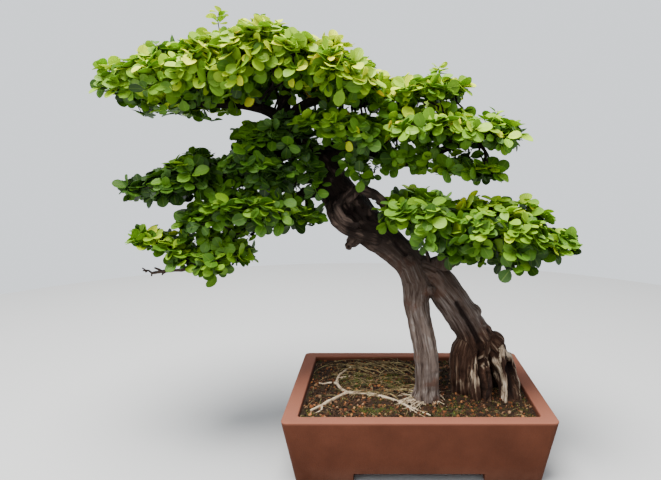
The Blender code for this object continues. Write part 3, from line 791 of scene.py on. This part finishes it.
pale, tree, shader = new_finish("bleached root", 0.75, 0.3)
stripes = striped(tree, 0.15, 420.0, 1800.0)
patches = speckled(tree, own_place(tree), 70.0, 900.0)
skin = ramp(
    tree,
    stripes["Cloud"],
    (0.0, (0.15, 0.095, 0.055)), (0.45, (0.38, 0.285, 0.185)), (1.0, (0.62, 0.51, 0.36)),
)
skin = mixed(tree, grey(tree, patches["Cloud"], 0.55, 0.9, 0.0, 0.75), skin, (0.13, 0.075, 0.042))
surfaced(tree, shader, skin, stripes, (0.6, 0.9), 0.0005, stripes["Height"])
show("forked_root", root_mesh, pale, ["surface_root"])


def strand(start, heading, length, radius, draws, lift, wander=0.35, steps=6, curl=0.0):
    """A thin strand that lies along the soil and wanders a little as it goes."""
    points = []
    place = Vector((start.x, start.y, 0))
    for i in range(steps + 1):
        share = i / steps
        rise = soil_height(place.x, place.y) + radius + lift * math.sin(math.pi * share)
        points.append((Vector((place.x, place.y, rise)), radius * (1 - 0.6 * share)))
        heading += curl + draws.uniform(-wander, wander)
        place += Vector((math.cos(heading), math.sin(heading), 0)) * length / steps
        place.x = min(max(place.x, soil_low.x + LOOSE_FROM_WALL), soil_high.x - LOOSE_FROM_WALL)
        place.y = min(max(place.y, soil_low.y + LOOSE_FROM_WALL), soil_high.y - LOOSE_FROM_WALL)
    return points


def show_stems(name, mesh, material, nodes):
    """Thin stems, whose grain is simply their place."""
    add_vector(mesh, "grain", coordinates(mesh))
    mesh.shade_smooth()
    show(name, mesh, material, nodes)


# The thin roots leave the leg's foot in two fans: how many, the fan's two sides in degrees, their
# length, their radius, and how far they lift off the soil.
FANS = [
    (46, (115, 250), (0.015, 0.046), (0.0005, 0.0012), 0.003),
    (14, (-70, 60), (0.012, 0.03), (0.0005, 0.001), 0.002),
]
LEG_RADIUS = 0.014
draws = random.Random(23)
fibres = []
for count, (one_side, other_side), length, radius, lift in FANS:
    for _ in range(count):
        heading = draws.uniform(math.radians(one_side), math.radians(other_side))
        start = LIVE_LEG_AT + Vector((math.cos(heading), math.sin(heading), 0)) * LEG_RADIUS
        fibres.append(strand(start, heading, draws.uniform(*length), draws.uniform(*radius), draws, lift))
show_stems("fibrous_roots", tube(fibres, 0, 3), pale, [])

# ---------------------------------------------------------------- moss and dry strands
# Low cushions of moss lie on the soil, made of short upright shoots. Dead yellow stalks and
# needles lie over them in loose arcs.
LOOSE_SHOOTS = 8500
CRUMBS_ON_MOSS = 45000
MOSS_SHOOTS = {"moss_left": 2600, "moss_front": 1300, "moss_middle": 1900, "moss_right": 750}
MOSS_SUNK = 0.0012
STALKS = 64
NEEDLES = 130


moss, tree, shader = new_finish("moss", 0.9, 0.2)
spots = speckled(tree, own_place(tree), 60.0, 1400.0)
green = ramp(
    tree,
    attribute(tree, "tone", "Fac"),
    (0.0, (0.014, 0.016, 0.005)),
    (0.35, (0.040, 0.052, 0.009)),
    (0.7, (0.120, 0.145, 0.018)),
    (0.9, (0.24, 0.22, 0.05)),
    (1.0, (0.34, 0.26, 0.10)),
)
green = mixed(tree, grey(tree, spots["Cloud"], 0.5, 1.0, 0.0, 0.7), green, (0.060, 0.034, 0.016))
surfaced(tree, shader, green, spots, (0.8, 1.0), 0.0003)

# One shoot, a unit tall, that stands on its foot.
cone = {"cap_ends": True, "segments": 4, "radius1": 0.32, "radius2": 0.06, "depth": 1.0}
shoot = simple(bmesh.ops.create_cone, (0, 0, 0.5), **cone)
draws = random.Random(31)
for node, count in MOSS_SHOOTS.items():
    low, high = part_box(node)
    middle, half = (low + high) / 2, (high - low) / 2
    bm = bmesh.new()
    bmesh.ops.create_icosphere(bm, subdivisions=4, radius=1.0)
    for vert in bm.verts:
        around = vert.co.copy()
        spread = 0.93 + 0.12 * noise.noise(around * 2.2 + Vector((low.x * 50, 0, 0)))
        x = middle.x + around.x * half.x * spread
        y = middle.y + around.y * half.y * spread
        crown = max(0.0, around.z)
        bumps = ground_noise(x, y, 130, 1.0) * 0.0022 * crown
        under = min(0.0, around.z) * 0.0015
        vert.co = (x, y, soil_height(x, y) - MOSS_SUNK + crown * 0.0024 + bumps + under)
    patch = Gathered()
    patch.add(mesh_from(bm, "cushion"), Matrix.Identity(4), 0.10)
    for _ in range(count):
        reach = math.sqrt(draws.random()) * 1.04
        angle = draws.uniform(0, 2 * math.pi)
        x = middle.x + math.cos(angle) * reach * half.x
        y = middle.y + math.sin(angle) * reach * half.y
        if ground_noise(x, y, 90, 5.0) < 0.0:
            continue
        crown = math.sqrt(max(0.0, 1 - reach * reach))
        foot = Vector((x, y, soil_height(x, y) - MOSS_SUNK + crown * 0.0026))
        tall = draws.uniform(0.0014, 0.0034)
        matrix = turned(foot, draws, (tall * 0.5, tall * 0.5, tall), 0.7)
        patch.add(shoot, matrix, draws.betavariate(1.6, 2.6))
    show(node + "_cushion", patch.mesh(node), moss, [node])

over_moss = Gathered()
for node in MOSS_SHOOTS:
    low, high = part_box(node)
    for _ in range(round((high - low).x * (high - low).y * CRUMBS_ON_MOSS)):
        x, y = draws.uniform(low.x, high.x), draws.uniform(low.y, high.y)
        radius = draws.uniform(0.0009, 0.0021)
        place = Vector((x, y, soil_height(x, y) + 0.0012))
        over_moss.add(draws.choice(lumps), turned(place, draws, (radius,) * 3), draws.random())
show("crumbs_on_moss", over_moss.mesh("crumbs_on_moss"), grit, [])

loose = Gathered()
while len(loose.tones) < LOOSE_SHOOTS:
    x = soil_middle.x + draws.uniform(-0.98, 0.98) * soil_half.x
    y = soil_middle.y + draws.uniform(-0.98, 0.98) * soil_half.y
    # Moss grows thicker at the right and along the front.
    open_side = 0.12 if x > LIVE_LEG_AT.x - 0.03 or y < soil_middle.y - 0.07 else -0.06
    if ground_noise(x, y, 55, 12.0) + 0.5 * ground_noise(x, y, 170, 2.0) < 0.10 - open_side:
        continue
    tall = draws.uniform(0.0012, 0.0032)
    foot = Vector((x, y, soil_height(x, y) - 0.0003))
    matrix = turned(foot, draws, (tall * 0.55, tall * 0.55, tall), 0.9)
    loose.add(shoot, matrix, draws.betavariate(1.5, 2.8))
show("loose_moss", loose.mesh("loose_moss"), moss, [])

straw, tree, shader = new_finish("dry stalks", 0.8, 0.3)
spots = speckled(tree, own_place(tree), 90.0, 1500.0)
stalk = ramp(
    tree,
    spots["Cloud"],
    (0.0, (0.035, 0.024, 0.010)),
    (0.4, (0.12, 0.085, 0.032)),
    (0.75, (0.27, 0.20, 0.09)),
    (1.0, (0.11, 0.12, 0.025)),
)
surfaced(tree, shader, stalk, spots, (0.65, 0.9), 0.0001)
stalks = []
for _ in range(STALKS):
    start = on_soil(draws.uniform(0.45, 0.98), draws.uniform(-0.45, 0.8))
    heading = draws.gauss(math.radians(135), 0.35)
    length, radius = draws.uniform(0.04, 0.12), 0.0003 + 0.0009 * draws.random() ** 2
    stalks.append(strand(start, heading, length, radius, draws, 0.006, 0.14, 8, draws.uniform(0.08, 0.22)))
for _ in range(NEEDLES):
    across, back = draws.uniform(-0.98, 0.98), draws.uniform(-0.98, 0.98)
    start = soil_middle + Vector((across * soil_half.x, back * soil_half.y, 0))
    length, heading = draws.uniform(0.008, 0.035), draws.uniform(0, 6.3)
    stalks.append(strand(start, heading, length, draws.uniform(0.0003, 0.0006), draws, 0.002, 0.3, 4))
stalk_mesh = tube(stalks, 0, 2)
stalk_mesh.shade_smooth()
show("dry_stalks", stalk_mesh, straw, [])

# ---------------------------------------------------------------- branches, twigs and leaves
# Each branch leaves the trunk and carries one or more leaf masses. It divides into side stems and
# thin twigs, and each twig ends in a rosette of small, round-tipped leaves on short stalks.
# Each branch with the leaf masses it bears: their tone, fullness and share of yellowed leaves. The
# tone is the leaves' green, painted lighter for the lit masses at the top and darker for the shaded inner and
# low ones.
CARRIES = {
    "branch_crown_left": {
        "leaves_crown_tip": (0.80, 1.05, 0.003),
        "leaves_crown_left": (0.82, 1.1, 0.004),
        "leaves_crown_top": (0.86, 1.1, 0.012),
    },
    "branch_crown_right": {"leaves_crown_right": (0.89, 1.1, 0.05), "leaves_shoulder": (0.60, 0.9, 0.01)},
    "branch_left_upper": {"leaves_left_upper": (0.47, 1.05, 0.0), "leaves_left_inner": (0.42, 1.2, 0.0)},
    "branch_left_lower": {"leaves_left_low": (0.68, 1.0, 0.0), "leaves_left_hang": (0.58, 1.15, 0.0)},
    "branch_right_upper": {
        "leaves_right_upper": (0.72, 0.95, 0.012),
        "leaves_right_tier": (0.80, 0.95, 0.0),
        "leaves_right_hang": (0.62, 1.0, 0.0),
    },
    "branch_right_lower": {"leaves_low_right": (0.64, 1.0, 0.0), "leaves_low_inner": (0.54, 1.1, 0.0)},
    "branch_back_upper": {"leaves_back_upper": (0.70, 0.95, 0.0)},
    "branch_back_left": {"leaves_back_left": (0.68, 0.95, 0.0)},
    "branch_back_right": {"leaves_back_right": (0.64, 0.95, 0.0)},
}
ROSETTES_PER_M2 = 3000
TIP_KEPT_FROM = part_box("leaves_crown_tip")[0].x + 0.032
INNER_SHARE = 0.45
# How deep in a leaf mass its rosettes and the forks of its stems lie, and how far its tufts stand out.
OUTER_DEPTH = (0.012, 0.018)
INNER_DEPTH = 0.022
FORK_DEPTH = (0.016, 0.026)
FORK_OVER_FOOT = 0.008
FORK_APART = 0.022
TUFT = 0.010
DRY_TIP_BEFORE = root_spot.x - 0.448
LEAF_LENGTH = (0.014, 0.026)
# Half width of the blade from its stalk to its tip, as shares of its length.
BLADE = ((0.0, 0.02), (0.12, 0.05), (0.28, 0.24), (0.52, 0.355), (0.76, 0.34), (0.93, 0.21), (1.0, 0.07))
BLADE_THICK = 0.016


def leaf_blank(wide, fold, curl, twist):
    """A leaf one unit long on +Y with its upper face up, its edges raised and its tip curled."""
    bm = bmesh.new()
    bmesh.ops.create_grid(bm, x_segments=2, y_segments=len(BLADE) - 1, size=1.0)
    bmesh.ops.solidify(bm, geom=bm.faces[:], thickness=BLADE_THICK)
    bmesh.ops.recalc_face_normals(bm, faces=bm.faces)
    shares, halves = zip(*BLADE)
    uv = bm.loops.layers.uv.new("leaf")
    for face in bm.faces:
        for loop in face.loops:
            row = (loop.vert.co.y + 1) / 2
            loop[uv].uv = ((loop.vert.co.x + 1) / 2, row)
    for vert in bm.verts:
        step = (vert.co.y + 1) / 2 * (len(BLADE) - 1)
        share = np.interp(step, range(len(BLADE)), shares)
        half = np.interp(step, range(len(BLADE)), halves) * wide
        side = vert.co.x
        rise = fold * abs(side) * half - curl * share * share + twist * side * half
        vert.co = (side * half, share, rise + vert.co.z)
    mesh = mesh_from(bm, "leaf")
    mesh.shade_smooth()
    mesh.set_sharp_from_angle(angle=math.radians(55))
    return mesh


leaf_blanks = [
    leaf_blank(1.0, 0.22, 0.10, 0.0),
    leaf_blank(1.12, 0.10, 0.16, 0.12),
    leaf_blank(0.9, 0.34, 0.05, -0.10),
    leaf_blank(1.18, 0.16, -0.04, 0.06),
    leaf_blank(0.98, 0.26, 0.24, -0.14),
]

leaf, tree, shader = new_finish("leaf", 0.45, 0.28)
tone = attribute(tree, "tone", "Fac")
across, along, _ = split(tree, put(tree, "ShaderNodeUVMap", uv_map="leaf").outputs[0])
spots = speckled(tree, own_place(tree), 45.0, 700.0)
blade = ramp(
    tree,
    tone,
    (0.0, (0.008, 0.026, 0.003)),
    (0.25, (0.026, 0.078, 0.006)),
    (0.5, (0.082, 0.205, 0.009)),
    (0.72, (0.190, 0.370, 0.009)),
    (0.9, (0.400, 0.590, 0.014)),
    (0.97, (0.62, 0.70, 0.02)),
    (1.0, (0.86, 0.70, 0.02)),
)
from_rib = worked(tree, "ABSOLUTE", worked(tree, "SUBTRACT", across, 0.5))
rib = grey(tree, from_rib, 0.0, 0.07, 1.0, 0.0)
slant = worked(tree, "SUBTRACT", along, worked(tree, "MULTIPLY", from_rib, 1.1))
vein = worked(tree, "PINGPONG", worked(tree, "MULTIPLY", slant, 7.0), 0.5)
lines = worked(tree, "MAXIMUM", rib, grey(tree, vein, 0.0, 0.10, 0.45, 0.0))
blade = mixed(tree, worked(tree, "MULTIPLY", lines, 0.2), blade, (0.34, 0.50, 0.07))
blade = mixed(tree, 1.0, blade, grey(tree, spots["Cloud"], 0.0, 1.0, 0.78, 1.18), "MULTIPLY")
sunk = worked(tree, "SUBTRACT", 1.0, lines)
surfaced(tree, shader, blade, spots, (0.38, 0.56), 0.0004, sunk, 0.6)
through = put(tree, "ShaderNodeBsdfTranslucent")
glow = mixed(tree, 1.0, blade, (1.0, 1.0, 0.55), "MULTIPLY")
tree.links.new(glow, through.inputs["Color"])
both = put(tree, "ShaderNodeMixShader", {0: 0.36, 1: shader.outputs[0], 2: through.outputs[0]})
tree.links.new(both.outputs[0], tree.nodes["Material Output"].inputs["Surface"])


def skin_samples(mesh, draws, count=None, per_area=0.0):
    """Places and outward directions spread evenly over a mesh, as many as count or per_area says."""
    mesh.calc_loop_triangles()
    co = coordinates(mesh)
    tris = np.empty(len(mesh.loop_triangles) * 3, np.int32)
    mesh.loop_triangles.foreach_get("vertices", tris)
    corners = co[tris.reshape(-1, 3)]
    normal = np.cross(corners[:, 1] - corners[:, 0], corners[:, 2] - corners[:, 0])
    area = np.linalg.norm(normal, axis=1) / 2
    sums = np.cumsum(area)
    found = []
    count = count or round(sums[-1] * per_area)
    for i in range(count):
        pick = int(np.searchsorted(sums, (i + draws.random()) / count * sums[-1]))
        pick = min(pick, len(sums) - 1)
        a, b = draws.random(), draws.random()
        if a + b > 1:
            a, b = 1 - a, 1 - b
        p = corners[pick, 0] * (1 - a - b) + corners[pick, 1] * a + corners[pick, 2] * b
        found.append((Vector(p), Vector(normal[pick]).normalized()))
    return found


def facing(direction, upper):
    """The turn that lays a leaf's length on a direction with its upper face towards upper."""
    y = direction.normalized()
    z = (upper - y * upper.dot(y)).normalized()
    return Matrix((y.cross(z), y, z)).transposed()


def shaken(draws, spread):
    """A random offset, about spread long each way."""
    return Vector([draws.gauss(0, spread) for _ in range(3)])


def add_rosette(gathered, place, axis, tone, draws, size=1.0, yellowed=0.0):
    """Three to five leaves round a twig's end, spread off its axis."""
    axis = axis.normalized()
    side = axis.orthogonal().normalized()
    count = draws.randint(3, 5)
    start = draws.uniform(0, 2 * math.pi)
    for i in range(count):
        turn = start + i * 2 * math.pi / count + draws.uniform(-0.3, 0.3)
        radial = Matrix.Rotation(turn, 3, axis) @ side
        spread = draws.uniform(0.75, 1.45)
        direction = axis * math.cos(spread) + radial * math.sin(spread)
        direction.z *= 0.75
        upper = axis * 1.1 + shaken(draws, 0.34) + Vector((0, 0, 0.45))
        length = draws.uniform(*LEAF_LENGTH) * size
        matrix = facing(direction, upper).to_4x4()
        matrix = Matrix.Translation(place + direction * 0.0015) @ matrix @ Matrix.Scale(length, 4)
        own = min(0.97, max(0.02, tone + draws.gauss(0, 0.11)))
        if draws.random() < yellowed:
            own = draws.uniform(0.965, 1.0)
        gathered.add(draws.choice(leaf_blanks), matrix, own)


def bent(start, end, lift, radius_start, radius_end, draws, steps=4):
    """A stem from start to end that bows and kinks."""
    way = end - start
    bow = Vector((draws.gauss(0, 1), draws.gauss(0, 1), draws.gauss(0, 0.5) + 1)) * way.length * lift
    limb = []
    for i in range(steps + 1):
        share = i / steps
        place = start + way * share + bow * math.sin(math.pi * share)
        if 0 < i < steps:
            place += shaken(draws, 0.03) * way.length
        limb.append((place, radius_start + (radius_end - radius_start) * share))
    return limb


def branch_skin(node):
    """The branch itself with finer, knotted bark."""
    bm = bmesh.new()
    bm.from_mesh(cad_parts[node].data)
    bmesh.ops.remove_doubles(bm, verts=bm.verts, dist=1e-5)
    bmesh.ops.subdivide_edges(bm, edges=bm.edges[:], cuts=2, use_grid_fill=True)
    bmesh.ops.smooth_vert(bm, verts=bm.verts, factor=0.4, use_axis_x=True, use_axis_y=True, use_axis_z=True)
    bmesh.ops.recalc_face_normals(bm, faces=bm.faces)
    for vert in bm.verts:
        swell = noise.noise(vert.co * 85) * 0.0016 + noise.noise(vert.co * 300) * 0.0007
        vert.co += vert.normal * swell
    return mesh_from(bm, node)


def uneven(place):
    """Where the leaves stand out in tufts (up to 1) or lie back (down to -1)."""
    return max(-1.0, min(1.0, noise.noise(place * 42 + Vector((9.0, 2.0, 4.0))) * 1.8))


draws = random.Random(47)
for branch, masses in CARRIES.items():
    bears_from = DRY_TIP_BEFORE if branch == "branch_left_lower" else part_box(branch)[0].x
    bark_points = [v.co.copy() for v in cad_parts[branch].data.vertices if v.co.x >= bears_from]
    finder = kdtree.KDTree(len(bark_points))
    for i, point in enumerate(bark_points):
        finder.insert(point, i)
    finder.balance()
    stems = []
    for mass, (tone, fullness, yellowed) in masses.items():
        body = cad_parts[mass].data
        low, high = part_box(mass)
        centre = (low + high) / 2
        forks = []
        for place, normal in skin_samples(body, draws, max(5, round((high - low).length / FORK_APART))):
            fork = place - normal * draws.uniform(*FORK_DEPTH)
            fork.z = max(fork.z, low.z + FORK_OVER_FOOT)
            start, _, _ = finder.find(fork)
            forks.append(fork)
            stems.append(bent(start, fork, 0.07, 0.0023, 0.0012, draws, 5))
        gathered = Gathered()
        shell = skin_samples(body, draws, per_area=ROSETTES_PER_M2 * fullness)
        inner = [(p - n * INNER_DEPTH, n) for p, n in shell[:: round(1 / INNER_SHARE)]]
        shell = [(p - n * (draws.uniform(*OUTER_DEPTH) - uneven(p) * TUFT), n) for p, n in shell]
        for depth, group in enumerate((shell, inner)):
            for place, normal in group:
                under = max(0.0, -normal.z)
                if place.x < TIP_KEPT_FROM or under > 0.3 and draws.random() < 0.25 + 0.6 * under:
                    continue
                # Each rosette's tone is painted lighter towards the top of its mass and on tufts that stand
                # out, and darker where it faces down and deep inside: painted light and shade.
                rise = (place.z - low.z) / (high.z - low.z)
                own = tone + 0.34 * (rise - 0.62) - 0.20 * under - 0.24 * depth + 0.08 * uneven(place)
                axis = normal * 0.9 + Vector((0, 0, 0.35))
                fork = min(forks, key=lambda f: (f - place).length_squared)
                add_rosette(gathered, place, axis, own, draws, 0.9 if depth else 1.0, yellowed)
                stems.append(bent(fork, place, 0.10, 0.0009, 0.0005, draws, 3))
        show(mass + "_foliage", gathered.mesh(mass), leaf, [mass])
    wood_mesh = joined([branch_skin(branch), tube(stems, 0, 2, "POLY")])
    show_stems(branch + "_wood", wood_mesh, bark, [branch])

# Short shoots stand straight out of the old wood of the trunk and the burl: (across, back, up) of
# each in millimetres from the spot between the feet, how far it spreads in millimetres, its tone and
# its count of rosettes. The tone is painted darker for the shoots deep in the crown's shade.
SHOOTS = [
    ((-418, -40, 262), 26, 0.54, 11),
    ((-378, -42, 262), 28, 0.54, 12),
    ((-338, -40, 264), 24, 0.52, 9),
    ((-274, -32, 334), 30, 0.40, 14),
    ((-318, -32, 344), 30, 0.42, 14),
    ((-356, -32, 330), 30, 0.44, 13),
    ((-396, -32, 316), 26, 0.46, 11),
    ((-118, -20, 452), 26, 0.60, 12),
    ((-84, -20, 452), 26, 0.62, 12),
    ((-48, -20, 455), 22, 0.64, 9),
    ((-118, -26, 384), 20, 0.50, 8),
    ((-92, -28, 380), 18, 0.52, 7),
    ((-66, -28, 386), 18, 0.54, 6),
    ((-252, -34, 366), 20, 0.30, 9),
    ((-226, -40, 344), 17, 0.34, 7),
    ((-276, -40, 430), 24, 0.30, 10),
    ((-246, -36, 404), 22, 0.28, 9),
    ((-222, -30, 440), 22, 0.34, 8),
    ((-300, -30, 400), 20, 0.30, 8),
    ((-146, -22, 362), 13, 0.40, 5),
    ((-168, -24, 352), 13, 0.40, 5),
    ((-184, -24, 374), 16, 0.36, 6),
    ((-132, -34, 286), 12, 0.62, 4),
    ((-262, 40, 400), 24, 0.40, 8),
    ((-226, 52, 350), 20, 0.42, 6),
]
# Short dry spurs on the bare tip of the lowest left branch.
DRY_SPURS = [
    ((-462, -36, 206), (-468, -42, 214)),
    ((-470, -36, 205), (-477, -40, 199)),
    ((-478, -36, 204), (-488, -41, 211)),
    ((-486, -36, 203), (-494, -38, 197)),
    ((-494, -35, 201), (-508, -36, 205)),
    ((-502, -36, 203), (-508, -38, 210)),
]
# A few long new shoots stand up out of the crown and the right pads: foot, tip and tone.
LONG_SHOOTS = [
    ((-383, 0, 570), (-383, -2, 598), 0.92),
    ((-49, 0, 500), (-47, -2, 516), 0.88),
    ((-330, 40, 578), (-326, 44, 598), 0.90),
    ((40, 20, 430), (48, 24, 452), 0.86),
]
shoot_leaves = Gathered()
shoot_wood = []
for spot, spread, tone, count in SHOOTS:
    foot = from_spot(spot)
    inward = foot + Vector((0.0, -0.020 if spot[1] > 0 else 0.020, -0.006))
    for _ in range(count):
        way = shaken(draws, 0.45)
        place = foot + way * spread / 1000
        axis = way + Vector((0, 0.7 if spot[1] > 0 else -0.7, 0.5))
        add_rosette(shoot_leaves, place, axis, tone, draws, 0.9)
        shoot_wood.append(bent(inward, place, 0.08, 0.0011, 0.0005, draws, 3))
for foot, tip in DRY_SPURS:
    shoot_wood.append(bent(from_spot(foot), from_spot(tip), 0.12, 0.0022, 0.0011, draws, 3))
for foot, tip, tone in LONG_SHOOTS:
    foot, tip = from_spot(foot), from_spot(tip)
    shoot_wood.append(bent(foot, tip, 0.04, 0.0010, 0.0005, draws, 3))
    for share in (0.45, 0.72, 1.0):
        place = foot + (tip - foot) * share
        add_rosette(shoot_leaves, place, Vector((0, 0, 1.0)), tone, draws, 0.78 if share < 1 else 0.6)
show("shoots_foliage", shoot_leaves.mesh("shoots"), leaf, [])
show_stems("shoots_wood", tube(shoot_wood, 0, 2, "POLY"), bark, [])

# ---------------------------------------------------------------- floor, light and camera
# A plain pale round floor, and soft light from above and from the front left. The camera stands
# in front of the pot, at two thirds of the tree's height, and looks slightly down.
FLOOR_RADIUS = 1.6
LIGHT_SIZE = 1.6
LIT_SPOT = Vector((0.0, 0.0, 0.4))
CAMERA_FROM_POT = Vector((-0.0582, -0.9366, 0.0))
CAMERA_TALL = 0.4802
CAMERA_DOWN = 0.1472
bm = bmesh.new()
bmesh.ops.create_circle(bm, cap_ends=True, segments=128, radius=FLOOR_RADIUS)
floor = new_object("floor", mesh_from(bm, "floor"))
paper, tree, shader = new_finish("floor", 0.9, 0.2)
shader.inputs["Base Color"].default_value = (0.37, 0.37, 0.37, 1.0)
floor.data.materials.append(paper)


def add_light(name, place, energy, colour):
    data = bpy.data.lights.new(name, "AREA")
    data.shape = "DISK"
    data.size = LIGHT_SIZE
    data.energy = energy
    data.color = colour
    light = new_object(name, data)
    light.location = place
    light.rotation_euler = (LIT_SPOT - Vector(place)).to_track_quat("-Z", "Y").to_euler()


add_light("sky", (-0.3, -0.5, 2.6), 275, (1.0, 0.99, 0.96))
add_light("front", (-1.2, -2.2, 1.4), 22, (0.98, 0.99, 1.0))
world = bpy.data.worlds.new("soft room")
world.use_nodes = True
world.node_tree.nodes["Background"].inputs["Color"].default_value = (0.80, 0.84, 0.88, 1.0)
world.node_tree.nodes["Background"].inputs["Strength"].default_value = 1.5
bpy.context.scene.world = world

lens = bpy.data.cameras.new("camera")
lens.lens = 32.0
lens.sensor_width = 36.0
lens.shift_x = -0.0741
camera = new_object("camera", lens)
camera.location = (pot_middle.x + CAMERA_FROM_POT.x, pot_middle.y + CAMERA_FROM_POT.y, CAMERA_TALL)
camera.rotation_euler = (math.pi / 2 - CAMERA_DOWN, 0.0, 0.0)
bpy.context.scene.camera = camera
